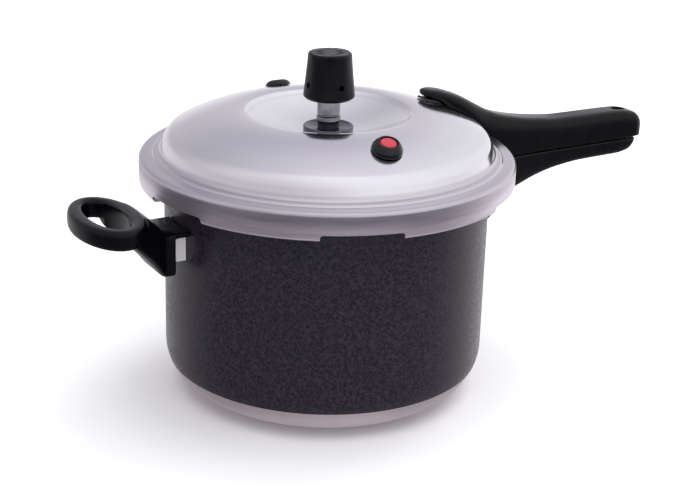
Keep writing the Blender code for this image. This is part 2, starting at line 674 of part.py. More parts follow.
def make_lower_handle():
    back = BRACKET_DEPTH + SEAT_GAP
    root = PARTING_Z - BRACKET_Z + PLATE_BELOW
    near, far = 46.0 * MM, HANDLE_REACH - 21.0 * MM
    sections = [
        root_section(back, root, PLATE_HALF_W, 7.0),
        root_section(back + PLATE_T - 0.6 * MM, root, PLATE_HALF_W, 7.0),
        root_section(back + PLATE_T + 5.5 * MM, root - 5.6 * MM, PLATE_HALF_W - 1.5 * MM, 6.0),
        root_section(28.0 * MM, root - 10.8 * MM, 14.2 * MM, 5.0),
        root_section(36.0 * MM, 26.0 * MM, 12.9 * MM, 4.5),
        root_section(near, 21.8 * MM, 12.2 * MM, 4.5),
        root_section(along_grip(0.18, near, far), 16.8 * MM, 11.6 * MM, 4.5),
        root_section(along_grip(0.37, near, far), 13.6 * MM, GRIP_HALF, 4.5),
        root_section(along_grip(0.61, near, far), 11.6 * MM, GRIP_HALF, 4.5),
        root_section(along_grip(0.85, near, far), 11.2 * MM, GRIP_HALF, 4.5),
        root_section(far, 11.0 * MM, GRIP_HALF, 4.5),
        root_section(HANDLE_REACH - 13.0 * MM, 9.0 * MM, GRIP_HALF - 0.6 * MM, 4.0),
        root_section(HANDLE_REACH - 8.5 * MM, 5.4 * MM, 9.4 * MM, 3.5),
        root_section(HANDLE_REACH - 7.0 * MM, 2.0 * MM, 8.0 * MM, 3.5),
    ]
    handle = loft("lower_handle", sections, "phenolic")
    step_z = BRACKET_Z + HOOD_RISE + 6 * MM
    cut(handle, hood("lower_hood", step_z, 0.0), "UNION")
    cut(handle, wall_cutter("lower_hood_wall"))
    low = (POT_R - 20 * MM, -40 * MM, PARTING_Z)
    high = (POT_R + HANDLE_REACH + 20 * MM, 40 * MM, PARTING_Z + 80 * MM)
    cut(handle, block("lower_handle_parting", low, high))
    step_low = (POT_R - 20 * MM, -40 * MM, step_z)
    step_high = (SKIRT_R + 1.0 * MM, 40 * MM, PARTING_Z + 70 * MM)
    cut(handle, block("lower_handle_step", step_low, step_high))
    make_handle_screw("lower_handle_screw", 0.0, handle)
    return handle


def hood(name, top, angle):
    """The ledge that covers the bracket from above, back to the pot wall."""
    low = (POT_R - 8 * MM, -PLATE_HALF_W + 0.4 * MM, BRACKET_Z + BRACKET_HALF_H + SEAT_GAP)
    high = (POT_R + BRACKET_DEPTH + SEAT_GAP + 3 * MM, PLATE_HALF_W - 0.4 * MM, top)
    return block(name, low, high, None, turn_z(angle))


# ---------------------------------------------------------------- side handle

def loop_ring(name, matrix, steps=32, points=12):
    """The flat oval ring round the finger opening."""
    bm = bmesh.new()
    rings = []
    centre_x = POT_R + LOOP_OUT
    middle_z = LOOP_Z + LOOP_T / 2
    for i in range(steps):
        turn = 2 * math.pi * i / steps
        inner = (LOOP_HOLE_HALF[0] * math.cos(turn), LOOP_HOLE_HALF[1] * math.sin(turn))
        band = (LOOP_BAND[0] * math.cos(turn), LOOP_BAND[1] * math.sin(turn))
        ring = []
        for j in range(points):
            angle = 2 * math.pi * j / points
            across = 0.5 + 0.5 * signed_power(math.cos(angle), 2 / 3.6)
            z = middle_z + LOOP_T / 2 * signed_power(math.sin(angle), 2 / 3.6)
            x = centre_x + inner[0] + band[0] * across
            ring.append(bm.verts.new((x, inner[1] + band[1] * across, z)))
        rings.append(ring)
    for ring_a, ring_b in zip(rings, rings[1:] + rings[:1]):
        bridge(bm, ring_a, ring_b)
    return add_object(name, finish_mesh(name, bm), None, matrix)


def make_side_handle():
    """Base plate and neck, with the loop and the hood joined on."""
    back = BRACKET_DEPTH + SEAT_GAP
    low = BRACKET_Z - PLATE_BELOW
    hood_z = BRACKET_Z + HOOD_RISE
    loop_top = LOOP_Z + LOOP_T
    sections = [
        (POT_R + back, hood_z, low, PLATE_HALF_W, 8.0),
        (POT_R + back + PLATE_T - 0.6 * MM, hood_z + 1.6 * MM, low, PLATE_HALF_W, 8.0),
        (POT_R + 22.0 * MM, loop_top - 5.0 * MM, low + 7.0 * MM, PLATE_HALF_W + 4.0 * MM, 6.0),
        (POT_R + 29.0 * MM, loop_top - 0.6 * MM, low + 14.5 * MM, PLATE_HALF_W + 8.0 * MM, 5.0),
        (POT_R + 35.0 * MM, loop_top - 0.3 * MM, low + 20.5 * MM, PLATE_HALF_W + 11.0 * MM, 5.0),
        (POT_R + 40.0 * MM, loop_top - 0.6 * MM, low + 25.5 * MM, PLATE_HALF_W + 13.5 * MM, 5.0),
    ]
    turn = turn_z(math.pi)
    handle = loft("side_handle", sections, "phenolic", turn)
    cut(handle, loop_ring("side_loop", turn), "UNION")
    cut(handle, hood("side_hood", hood_z, math.pi), "UNION")
    cut(handle, wall_cutter("side_hood_wall"))
    stretch = LOOP_HOLE_HALF[0] / LOOP_HOLE_HALF[1]
    place = Matrix.Translation((POT_R + LOOP_OUT, 0, LOOP_Z - 40 * MM))
    opening_r = LOOP_HOLE_HALF[1] + LOOP_TRIM
    cut(handle, cylinder("finger_opening", opening_r, 80 * MM, turn @ place, 32, stretch=stretch))
    make_handle_screw("side_handle_screw", math.pi, handle)
    return handle


# ---------------------------------------------------------------- vent and weight

def vent_heights():
    """Main heights of the vent: recess floor, weight foot and stem top."""
    floor = CREST_Z - DISH_DEPTH
    foot = CREST_Z + WEIGHT_FOOT
    return floor, foot, foot + NOZZLE_H


def make_vent():
    floor, foot, top = vent_heights()
    dish_z = floor + SEAT_GAP
    bore = STEM_THREAD_R + HOLE_GAP
    rim = VENT_DISH_R
    outline = [(bore, dish_z + VENT_DISH_T * 0.55), (rim * 0.5, dish_z + VENT_DISH_T * 0.62),
               (rim - 2.6 * MM, dish_z + VENT_DISH_T * 0.85), (rim - 1.8 * MM, dish_z + VENT_DISH_T),
               (rim - 0.5 * MM, dish_z + VENT_DISH_T), (rim, dish_z + VENT_DISH_T - 0.5 * MM),
               (rim, dish_z), (bore, dish_z)]
    turned("vent_base_dish", outline, "steel", 36, closed=True)
    under = floor - LID_T - SEAT_GAP
    seal = [(bore, under), (VENT_NUT_R, under), (VENT_NUT_R, under - SEAL_T), (bore, under - SEAL_T)]
    turned("vent_seal_washer", seal, "rubber", closed=True)
    nut_top = under - SEAL_T - SEAT_GAP
    nut_frame = Matrix.Translation((0, 0, nut_top - VENT_NUT_T))
    nut = cylinder("vent_nut", VENT_NUT_R, VENT_NUT_T, nut_frame, 6, "steel")
    bore_frame = Matrix.Translation((0, 0, nut_top - 2 * VENT_NUT_T))
    cut(nut, cylinder("vent_nut_bore", bore, 3 * VENT_NUT_T, bore_frame))
    hex_low = dish_z + VENT_DISH_T * 0.55 + SEAT_GAP
    collar_low = dish_z + VENT_DISH_T + 3.2 * MM
    groove = collar_low + 3.6 * MM
    stem_low = nut_top - VENT_NUT_T - 2.0 * MM
    cone = 1.4 * MM
    neck = STEM_R - 0.8 * MM
    stem = [(STEM_BORE_R + cone, top), (NOZZLE_R, top), (NOZZLE_R, foot + 2.6 * MM),
            (STEM_R - 0.6 * MM, foot + 1.6 * MM), (STEM_R, foot + 1.0 * MM), (STEM_R, groove + 0.9 * MM),
            (neck, groove + 0.5 * MM), (neck, groove), (STEM_COLLAR_R, groove - 0.5 * MM),
            (STEM_COLLAR_R, collar_low + 0.6 * MM), (STEM_HEX_R, collar_low), (STEM_HEX_R, hex_low),
            (STEM_THREAD_R, hex_low), (STEM_THREAD_R, stem_low), (STEM_BORE_R, stem_low),
            (STEM_BORE_R, top - cone)]
    turned("vent_stem", stem, "steel", SMALL_STEPS, closed=True)


def make_weight():
    _, foot, stem_top = vent_heights()
    top = foot + WEIGHT_H
    roof = foot + CHAMBER_H
    edge_centre = (WEIGHT_TOP_R - WEIGHT_EDGE_R, top - WEIGHT_EDGE_R)
    edge = arc(edge_centre, WEIGHT_EDGE_R, math.pi / 2, 8 * DEG, 4)
    outline = [(0.0, top)] + edge
    outline += [(WEIGHT_FOOT_R - 0.1 * MM, foot + 2.4 * MM), (WEIGHT_FOOT_R - 0.9 * MM, foot + 0.6 * MM),
                (WEIGHT_FOOT_R - 2.4 * MM, foot), (CHAMBER_R, foot), (CHAMBER_R, roof), (0.0, roof)]
    cap = turned("weight_cap", outline, "phenolic", SMALL_STEPS)
    across = Matrix.Translation((-20 * MM, 0, foot + STEAM_HOLE_H)) @ Matrix.Rotation(math.pi / 2, 4, "Y")
    for index in range(STEAM_HOLES // 2):
        frame = turn_z(index * 2 * math.pi / STEAM_HOLES) @ across
        cut(cap, cylinder(f"steam_hole_{index}", STEAM_HOLE_R, 40 * MM, frame, 12))
    slug_r = CHAMBER_R - SEAT_GAP
    slug_top = roof - SEAT_GAP
    slug_low = slug_top - CORE_H
    blind = slug_top - 2.6 * MM
    bore = NEEDLE_R + SLIDE_GAP
    core = [(0.0, slug_top), (slug_r, slug_top), (slug_r, slug_low), (bore, slug_low), (bore, blind),
            (0.0, blind)]
    turned("weight_core", core, "brass")
    collar_top = slug_low - SEAT_GAP
    collar_low = collar_top - 1.2 * MM
    cone = 1.4 * MM
    tip = stem_top - cone - 1.0 * MM
    needle_top = blind - SEAT_GAP
    needle = [(0.0, needle_top), (NEEDLE_R, needle_top), (NEEDLE_R, collar_top),
              (2 * NEEDLE_R, collar_top), (2 * NEEDLE_R, collar_low), (NEEDLE_R, collar_low),
              (NEEDLE_R, stem_top), (0.5 * MM, tip), (0.0, tip)]
    turned("vent_needle", needle, "steel", 16)
    ring_top = collar_low - SEAT_GAP
    inner = NEEDLE_R + SLIDE_GAP
    ring_low = ring_top - RETAINER_T
    ring = [(inner, ring_top), (slug_r, ring_top), (slug_r, ring_low), (inner, ring_low)]
    turned("weight_retainer", ring, "steel", closed=True)


# ---------------------------------------------------------------- indicator and plug

def grommet_under():
    """Top of a grommet's inner flange, clear of the curved inside of the lid."""
    return -LID_T - SEAT_GAP - dome_sag(GROMMET_FLANGE_R)


def grommet_foot(bore):
    """The part of a grommet that grips the lid and spreads under it, down to its bore."""
    under = grommet_under()
    low = under - GROMMET_FLANGE_T
    return [(GROMMET_NECK_R, SEAT_GAP), (GROMMET_NECK_R, under), (GROMMET_FLANGE_R, under),
            (GROMMET_FLANGE_R - 1.0 * MM, low), (bore, low)]


def make_indicator():
    frame = dome_frame(VALVE_RING_R, INDICATOR_ANGLE)
    bore = PIN_R + SLIDE_GAP
    stem_bore = PIN_STEM_R + SLIDE_GAP
    head_low = INDICATOR_H - PIN_HEAD_T
    housing = [(bore, INDICATOR_H), (bore + 0.7 * MM, INDICATOR_H),
               (INDICATOR_R - 1.7 * MM, INDICATOR_H * 0.72), (INDICATOR_R - 0.4 * MM, INDICATOR_H * 0.38),
               (INDICATOR_R, INDICATOR_H * 0.16), (INDICATOR_R, SEAT_GAP)]
    housing += grommet_foot(stem_bore) + [(stem_bore, head_low - SEAT_GAP), (bore, head_low - SEAT_GAP)]
    turned("indicator_housing", housing, "rubber", matrix=frame, closed=True)
    housing_low = grommet_under() - GROMMET_FLANGE_T
    clip_top = housing_low - PIN_TRAVEL - SEAT_GAP
    groove_low = clip_top - CLIP_T - 2 * SEAT_GAP
    groove_r = PIN_STEM_R - 0.7 * MM
    pin_top = INDICATOR_H - 0.2 * MM
    pin_low = groove_low - 1.2 * MM
    pin = [(0.0, pin_top), (PIN_R - 0.8 * MM, pin_top), (PIN_R, pin_top - 0.7 * MM),
           (PIN_R, head_low), (PIN_STEM_R, head_low), (PIN_STEM_R, clip_top + SEAT_GAP),
           (groove_r, clip_top + SEAT_GAP), (groove_r, groove_low), (PIN_STEM_R, groove_low),
           (PIN_STEM_R, pin_low), (0.0, pin_low)]
    turned("indicator_pin", pin, "red", matrix=frame)
    inner = groove_r + SEAT_GAP
    clip_r = PIN_R - 0.6 * MM
    clip = [(inner, clip_top), (clip_r, clip_top), (clip_r, clip_top - CLIP_T), (inner, clip_top - CLIP_T)]
    turned("indicator_clip", clip, "steel", 16, frame, closed=True)


def make_plug():
    """A rubber plug whose thin crown blows out at over-pressure."""
    frame = dome_frame(VALVE_RING_R, PLUG_ANGLE)
    crown = [(0.0, PLUG_H), (PLUG_R * 0.6, PLUG_H), (PLUG_R * 0.84, PLUG_H * 0.72),
             (PLUG_R, PLUG_H * 0.2), (PLUG_R, SEAT_GAP)]
    outline = crown + grommet_foot(PLUG_WELL_R) + [(PLUG_WELL_R, PLUG_WELL_TOP), (0.0, PLUG_WELL_TOP)]
    turned("safety_plug", outline, "rubber", matrix=frame)


# ---------------------------------------------------------------- assembly

def make_mounting(side, angle):
    make_bracket(side, angle)
    stem = side.split("_")[0]
    for label, sign in (("left", 1), ("right", -1)):
        make_rivet(f"{stem}_bracket_rivet_{label}", angle, sign * RIVET_SPREAD)


def main():
    make_pot()
    make_lid()
    make_gasket()
    make_upper_handle()
    make_upper_bracket()
    make_mounting("lower_handle", 0.0)
    make_lower_handle()
    make_mounting("side_handle", math.pi)
    make_side_handle()
    make_vent()
    make_weight()
    make_indicator()
    make_plug()


main()
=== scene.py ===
# %% [markdown]
# # A stovetop pressure cooker, made one piece at a time
#
# The cooker is a deep aluminium pot, a domed lid that locks on over the outside of its rim, a
# long handle in two halves, a looped side handle, a control weight on its vent stem, a pressure
# indicator and a safety plug. The working solids come from a CAD frame that is never moved.
# This file gives each piece that shows a fine surface and each finish its own shader.

# %% Load the frame
import math

import bmesh
import bpy
from mathutils import Matrix, Vector


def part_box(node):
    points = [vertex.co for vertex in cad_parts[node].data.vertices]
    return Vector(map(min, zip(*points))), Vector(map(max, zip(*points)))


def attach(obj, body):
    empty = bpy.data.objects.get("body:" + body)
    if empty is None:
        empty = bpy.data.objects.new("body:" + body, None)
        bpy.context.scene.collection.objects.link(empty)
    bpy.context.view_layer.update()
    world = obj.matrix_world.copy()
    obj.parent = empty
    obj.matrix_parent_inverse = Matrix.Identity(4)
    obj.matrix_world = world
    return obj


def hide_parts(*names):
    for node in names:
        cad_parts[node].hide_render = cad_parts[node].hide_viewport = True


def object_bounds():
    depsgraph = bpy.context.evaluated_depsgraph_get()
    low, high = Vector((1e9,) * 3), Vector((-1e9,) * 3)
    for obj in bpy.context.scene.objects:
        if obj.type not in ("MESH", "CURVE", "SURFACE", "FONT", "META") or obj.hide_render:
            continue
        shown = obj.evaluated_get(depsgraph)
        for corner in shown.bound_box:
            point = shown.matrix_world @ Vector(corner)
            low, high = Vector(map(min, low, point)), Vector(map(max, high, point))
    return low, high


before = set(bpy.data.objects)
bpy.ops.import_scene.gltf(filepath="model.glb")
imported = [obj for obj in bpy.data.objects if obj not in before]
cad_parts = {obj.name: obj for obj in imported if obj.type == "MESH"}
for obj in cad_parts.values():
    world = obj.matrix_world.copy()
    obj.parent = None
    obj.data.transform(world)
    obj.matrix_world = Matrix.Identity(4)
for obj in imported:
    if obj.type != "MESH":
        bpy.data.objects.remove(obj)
cad_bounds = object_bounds()
MM = 0.001
DEG = math.pi / 180
print("CAD box in mm:", [round((high - low) / MM, 1) for low, high in zip(*cad_bounds)])

# %% [markdown]
# ## The camera
#
# A catalogue picture of cookware is taken from about twenty degrees above the rim with a long
# lens, so that the ellipses stay calm. A camera could be aimed with a Track To constraint, but
# here it is built from three perpendicular directions, which also allows a small roll.

# %% Aim the camera
AZIMUTH = -30 * DEG          # 0 looks along +Y; the long handle points along +X
ELEVATION = 20.54 * DEG
ROLL = 1.48 * DEG
DISTANCE = 0.9728
LENS = 76.7
SHIFT = (0.0355, 0.0035)
AIM = Vector((0, 0, 0.090))

toward_camera = Vector((math.sin(AZIMUTH) * math.cos(ELEVATION),
                        -math.cos(AZIMUTH) * math.cos(ELEVATION), math.sin(ELEVATION)))
level = Vector((math.cos(AZIMUTH), math.sin(AZIMUTH), 0))
upward = toward_camera.cross(level)
right = level * math.cos(ROLL) + upward * math.sin(ROLL)
above = upward * math.cos(ROLL) - level * math.sin(ROLL)

lens = bpy.data.cameras.new("camera")
lens.lens = LENS
lens.shift_x, lens.shift_y = SHIFT
camera = bpy.data.objects.new("camera", lens)
bpy.context.scene.collection.objects.link(camera)
facing = Matrix((right, above, toward_camera)).transposed().to_4x4()
camera.matrix_world = Matrix.Translation(AIM + toward_camera * DISTANCE) @ facing
bpy.context.scene.camera = camera
print("camera at", [round(value, 3) for value in camera.location])

# %% [markdown]
# ## Helpers for shader nodes
#
# Nodes can be placed by hand in the editor, one click at a time. In a script a few short
# functions read better: one adds a node, one feeds a socket with either a number or another
# socket, and the rest wrap the maths nodes that every finish needs.

# %% Node helpers
def add(tree, kind, **settings):
    node = tree.nodes.new(kind)
    for key, value in settings.items():
        setattr(node, key, value)
    return node


def feed(tree, socket, value):
    """Wire a socket to another socket, or leave a plain number or colour on it."""
    if isinstance(value, bpy.types.NodeSocket):
        tree.links.new(value, socket)
    else:
        socket.default_value = value


def calc(tree, operation, a, b=0.0):
    node = add(tree, "ShaderNodeMath", operation=operation)
    feed(tree, node.inputs[0], a)
    feed(tree, node.inputs[1], b)
    return node.outputs[0]


def remap(tree, value, low, high, to_low=0.0, to_high=1.0):
    """Stretch low..high to to_low..to_high, and clamp it there."""
    node = add(tree, "ShaderNodeMapRange", interpolation_type="SMOOTHSTEP")
    for index, number in enumerate((value, low, high, to_low, to_high)):
        feed(tree, node.inputs[index], number)
    return node.outputs[0]


def noise(tree, vector, scale, detail=3.0, roughness=0.55, dimensions="3D", w=None):
    node = add(tree, "ShaderNodeTexNoise", noise_dimensions=dimensions)
    feed(tree, node.inputs["Vector"], vector)
    feed(tree, node.inputs["Scale"], scale)
    node.inputs["Detail"].default_value = detail
    node.inputs["Roughness"].default_value = roughness
    if w is not None:
        feed(tree, node.inputs["W"], w)
    return node.outputs["Fac"]


def mix_colour(tree, factor, first, second):
    node = add(tree, "ShaderNodeMix", data_type="RGBA")
    feed(tree, node.inputs[0], factor)
    for index, colour in ((6, first), (7, second)):
        feed(tree, node.inputs[index], (*colour, 1.0) if isinstance(colour, tuple) else colour)
    return node.outputs[2]


def vector_maths(tree, operation, *values, output="Vector"):
    node = add(tree, "ShaderNodeVectorMath", operation=operation)
    for index, value in enumerate(values):
        feed(tree, node.inputs[index], value)
    return node.outputs[output]


def split(tree, vector):
    node = add(tree, "ShaderNodeSeparateXYZ")
    feed(tree, node.inputs[0], vector)
    return node.outputs


def object_position(tree):
    """Where a point is in the piece's own space, so a pattern rides with the piece."""
    return add(tree, "ShaderNodeTexCoord").outputs["Object"]


def from_axis(tree, position):
    """A position without its height, and its distance from the Z axis."""
    flat = vector_maths(tree, "MULTIPLY", position, (1, 1, 0))
    return flat, vector_maths(tree, "LENGTH", flat, output="Value")


def new_group(name, inputs, outputs):
    group = bpy.data.node_groups.new(name, "ShaderNodeTree")
    for label, value in inputs.items():
        socket = group.interface.new_socket(label, in_out="INPUT", socket_type="NodeSocketFloat")
        socket.default_value = value
    for label in outputs:
        group.interface.new_socket(label, in_out="OUTPUT", socket_type="NodeSocketFloat")
    return group, group.nodes.new("NodeGroupInput"), group.nodes.new("NodeGroupOutput")


def place(tree, group, **values):
    node = add(tree, "ShaderNodeGroup", node_tree=group)
    for label, value in values.items():
        feed(tree, node.inputs[label], value)
    return node.outputs


def new_material(name, **fixed):
    """A material whose uniform values sit on the shader's own sockets."""
    material = bpy.data.materials.new(name)
    material.use_nodes = True
    shader = material.node_tree.nodes["Principled BSDF"]
    for label, value in fixed.items():
        shader.inputs[label.replace("_", " ")].default_value = value
    return material, material.node_tree, shader


def lay_finish(tree, shader, colour, roughness, relief, depth, strength):
    """Wire up a colour and a roughness that vary, and a fine relief through a Bump node."""
    feed(tree, shader.inputs["Base Color"], colour)
    feed(tree, shader.inputs["Roughness"], roughness)
    node = add(tree, "ShaderNodeBump")
    node.inputs["Strength"].default_value = strength
    node.inputs["Distance"].default_value = depth
    feed(tree, node.inputs["Height"], relief)
    tree.links.new(node.outputs["Normal"], shader.inputs["Normal"])


print("node helpers ready")

# %% [markdown]
# ## Surface effects shared by several finishes
#
# Turned and polished metal carries fine rings round its axis. Noise can be stretched into
# rings by feeding it the distance from the axis in place of a plain position. The direction
# round the axis goes in too, weakly, so that a ring fades in and out as it goes round.

# %% Group: rings left by spinning and polishing
spun_rings, entry, leave = new_group("spun_rings", {"Fineness": 1500.0, "Drift": 0.7}, ["Lines", "Broad"])
BROAD_SHARE = 0.07           # the broad bands are this much coarser than the fine lines
position = object_position(spun_rings)
flat, reach = from_axis(spun_rings, position)
heading = split(spun_rings, vector_maths(spun_rings, "NORMALIZE", flat))
height = split(spun_rings, position)[2]
for label, share in (("Lines", 1.0), ("Broad", BROAD_SHARE)):
    fineness = calc(spun_rings, "MULTIPLY", entry.outputs["Fineness"], share)
    across = add(spun_rings, "ShaderNodeCombineXYZ")
    feed(spun_rings, across.inputs[0], calc(spun_rings, "MULTIPLY", reach, fineness))
    for index in (0, 1):
        drift = calc(spun_rings, "MULTIPLY", heading[index], entry.outputs["Drift"])
        feed(spun_rings, across.inputs[index + 1], drift)
    down = calc(spun_rings, "MULTIPLY", height, fineness)
    pattern = noise(spun_rings, across.outputs[0], 1.0, 4.0, 0.6, "4D", down)
    feed(spun_rings, leave.inputs[label], pattern)
print("group", spun_rings.name, "puts out", [socket.name for socket in leave.inputs if socket.name])

# %% [markdown]
# Moulded plastic, rubber and cast metal share a fine, even grain. Handling leaves a second,
# much broader pattern, where a hand or a cloth has polished the surface a little.

# %% Groups: grain, handling marks and rubbed edges
fine_grain, entry, leave = new_group("fine_grain", {"Scale": 2500.0}, ["Grain"])
position = object_position(fine_grain)
feed(fine_grain, leave.inputs["Grain"], noise(fine_grain, position, entry.outputs["Scale"], 3.0, 0.6))

handling, entry, leave = new_group("handling", {"Scale": 28.0}, ["Smudge"])
position = object_position(handling)
cloud = noise(handling, position, entry.outputs["Scale"], 5.0, 0.6)
feed(handling, leave.inputs["Smudge"], remap(handling, cloud, 0.35, 0.68))

edge_rub, entry, leave = new_group("edge_rub", {"Low": 0.51, "High": 0.56}, ["Mask"])
pointed = add(edge_rub, "ShaderNodeNewGeometry").outputs["Pointiness"]
position = object_position(edge_rub)
patchy = remap(edge_rub, noise(edge_rub, position, 160.0, 4.0), 0.40, 0.62)
rubbed = remap(edge_rub, pointed, entry.outputs["Low"], entry.outputs["High"])
feed(edge_rub, leave.inputs["Mask"], calc(edge_rub, "MULTIPLY", rubbed, patchy))
print("groups", fine_grain.name, handling.name, edge_rub.name)

# %% [markdown]
# ## Finishes
#
# The lid is spun from sheet aluminium and buffed bright on the dome, while the skirt that
# locks round the pot is left duller. One metal shader could cover both with a mask painted on
# the mesh. Here the height in the lid's own space makes that mask, so it needs no painting.
# The skirt's colour also holds a painted mauve reflection of the surroundings, and the same
# height paints a highlight along the curled lip at the foot of the tabs.

# %% Finish: polished lid
POLISH_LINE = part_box("lid_shell")[0].z + 16 * MM      # buffing stops a little under the flange
BRIGHT, BRIGHT_RING = (0.83, 0.82, 0.85), (0.76, 0.745, 0.785)
RECESS_TONE, FLANGE_TONE = (0.91, 0.91, 0.905), (0.62, 0.60, 0.645)
# skirt colours: a duller tone with a painted mauve reflection, and streaks that also paint the lip's
# highlight
DULL_AND_MAUVE_REFLECTION, STREAK_AND_LIP_HIGHLIGHT = (0.44, 0.41, 0.47), (0.90, 0.84, 0.90)


def make_lid_finish():
    material, tree, shader = new_material("polished_aluminium", Metallic=1.0)
    rings = place(tree, spun_rings, Fineness=1300.0, Drift=0.8)
    marks = place(tree, handling, Scale=16.0)["Smudge"]
    position = object_position(tree)
    height = split(tree, position)[2]
    in_recess = remap(tree, from_axis(tree, position)[1], 52 * MM, 47 * MM)      # distance from the axis
    on_flange = remap(tree, height, POLISH_LINE + 8 * MM, POLISH_LINE + 5.6 * MM)
    bright = mix_colour(tree, rings["Broad"], BRIGHT, BRIGHT_RING)
    bright = mix_colour(tree, in_recess, bright, RECESS_TONE)
    bright = mix_colour(tree, on_flange, bright, FLANGE_TONE)
    # painted highlight: the skirt grows lighter towards the curled lip at the foot of the tabs
    low = remap(tree, height, POLISH_LINE - 2 * MM, POLISH_LINE - 15 * MM)
    streaks_and_lip_highlight = calc(tree, "ADD", remap(tree, rings["Broad"], 0.35, 0.65, -0.25, 0.35), low)
    skirt_colour = mix_colour(tree, streaks_and_lip_highlight, DULL_AND_MAUVE_REFLECTION, STREAK_AND_LIP_HIGHLIGHT)
    buffed = remap(tree, height, POLISH_LINE - 2 * MM, POLISH_LINE + 3 * MM)
    rough = remap(tree, buffed, 0.0, 1.0, 0.30, 0.105)
    rough = calc(tree, "ADD", rough, remap(tree, rings["Lines"], 0.3, 0.7, 0.0, 0.045))
    rough = calc(tree, "ADD", rough, calc(tree, "MULTIPLY", marks, 0.05))
    colour = mix_colour(tree, buffed, skirt_colour, bright)
    lay_finish(tree, shader, colour, rough, rings["Lines"], 0.003 * MM, 0.5)
    return material


lid_finish = make_lid_finish()
print("finish", lid_finish.name)

# %% [markdown]
# The pot's wall has a thick dark paint that dries into small worm-like cells, called a
# hammered finish. A Voronoi texture makes cells, but its borders are too straight, so the
# position is first pushed about by noise. The foot is turned off after painting, which bares
# the metal, so the foot and the inside take a second finish.

# %% Finishes: hammered paint and turned aluminium
def make_hammered_paint():
    material, tree, shader = new_material("hammered_paint", IOR=1.38, Coat_Weight=0.1, Coat_Roughness=0.2)
    position = object_position(tree)
    sway = add(tree, "ShaderNodeTexNoise")
    feed(tree, sway.inputs["Vector"], position)
    sway.inputs["Scale"].default_value = 420.0
    pushed = vector_maths(tree, "MULTIPLY_ADD", sway.outputs["Color"], (0.0022, 0.0022, 0.0022), position)
    cells = add(tree, "ShaderNodeTexVoronoi", feature="SMOOTH_F1")
    feed(tree, cells.inputs["Vector"], pushed)
    cells.inputs["Scale"].default_value = 520.0
    hollow = remap(tree, cells.outputs["Distance"], 0.1, 0.75)
    clouds = remap(tree, noise(tree, position, 22.0, 4.0), 0.38, 0.62)
    flakes = remap(tree, noise(tree, position, 1500.0, 2.0), 0.52, 0.74)
    ground = mix_colour(tree, clouds, (0.0088, 0.0055, 0.0094), (0.0070, 0.0063, 0.0130))
    worm = mix_colour(tree, hollow, ground, (0.023, 0.0165, 0.029))
    colour = mix_colour(tree, calc(tree, "MULTIPLY", flakes, 0.35), worm, (0.11, 0.10, 0.125))
    lay_finish(tree, shader, colour, remap(tree, hollow, 0.0, 1.0, 0.28, 0.42), hollow, 0.05 * MM, 0.7)
    return material


def make_turned_aluminium():
    material, tree, shader = new_material("turned_aluminium", Metallic=1.0)
    rings = place(tree, spun_rings, Fineness=2600.0, Drift=0.5)
    marks = place(tree, handling, Scale=24.0)["Smudge"]
    tone = mix_colour(tree, rings["Broad"], (0.86, 0.765, 0.79), (0.72, 0.635, 0.665))
    colour = mix_colour(tree, calc(tree, "MULTIPLY", marks, 0.25), tone, (0.52, 0.45, 0.475))
    rough = remap(tree, rings["Lines"], 0.3, 0.7, 0.36, 0.48)
    lay_finish(tree, shader, colour, rough, rings["Lines"], 0.02 * MM, 0.8)
    return material


hammered_paint = make_hammered_paint()
turned_aluminium = make_turned_aluminium()
print("finishes", hammered_paint.name, turned_aluminium.name)

# %% [markdown]
# The handles and the weight are phenolic, a hard black moulding plastic. It is not pure
# black: hands leave it satin in places and a touch greyer and glossier along the edges. The
# valve rubber is smoother and shinier, and the red pin is a clear plastic, painted darker
# round its rim as shade where it sits down inside the bushing. Wear could be painted by hand.
# Pointiness finds the edges without any painting.

# %% Finishes: phenolic, rubber, red plastic
def make_black_moulding(name, dark, rubbed, low, high, grain_scale, depth, level=0.2):
    """A black moulding with grain, handling marks and edges that are rubbed lighter."""
    material, tree, shader = new_material(name, IOR=1.5, Specular_IOR_Level=level)
    grain = place(tree, fine_grain, Scale=grain_scale)["Grain"]
    marks = place(tree, handling, Scale=30.0)["Smudge"]
    edge = place(tree, edge_rub, Low=0.512, High=0.57)["Mask"]
    tone = mix_colour(tree, marks, dark, tuple(value * 1.35 for value in dark))
    fine = remap(tree, grain, 0.35, 0.65, -0.03, 0.03)
    rough = calc(tree, "ADD", remap(tree, marks, 0.0, 1.0, low, high), fine)
    lay_finish(tree, shader, mix_colour(tree, edge, tone, rubbed), rough, grain, depth, 0.5)
    return material


def make_red_plastic():
    material, tree, shader = new_material("red_plastic", IOR=1.46, Coat_Weight=0.1)
    grain = place(tree, fine_grain, Scale=1800.0)["Grain"]
    # painted shade: the red darkens towards the rim, where the pin sits down inside the bushing
    rim = remap(tree, from_axis(tree, object_position(tree))[1], 4.3 * MM, 5.1 * MM)
    face = mix_colour(tree, grain, (0.38, 0.018, 0.034), (0.46, 0.036, 0.056))
    colour = mix_colour(tree, rim, face, (0.16, 0.005, 0.012))
    lay_finish(tree, shader, colour, remap(tree, grain, 0.3, 0.7, 0.38, 0.5), grain, 0.02 * MM, 0.5)
    return material


phenolic = make_black_moulding("phenolic", (0.0012, 0.0010, 0.0017), (0.009, 0.009, 0.011),
                               0.22, 0.32, 2200.0, 0.02 * MM)
weight_phenolic = make_black_moulding("weight_phenolic", (0.0014, 0.0011, 0.0028), (0.009, 0.009, 0.012),
                                      0.28, 0.38, 3000.0, 0.02 * MM)
valve_rubber = make_black_moulding("valve_rubber", (0.0040, 0.0040, 0.0048), (0.012, 0.012, 0.014),
                                   0.05, 0.11, 2600.0, 0.006 * MM, 0.36)
red_plastic = make_red_plastic()
print("finishes", phenolic.name, weight_phenolic.name, valve_rubber.name, red_plastic.name)

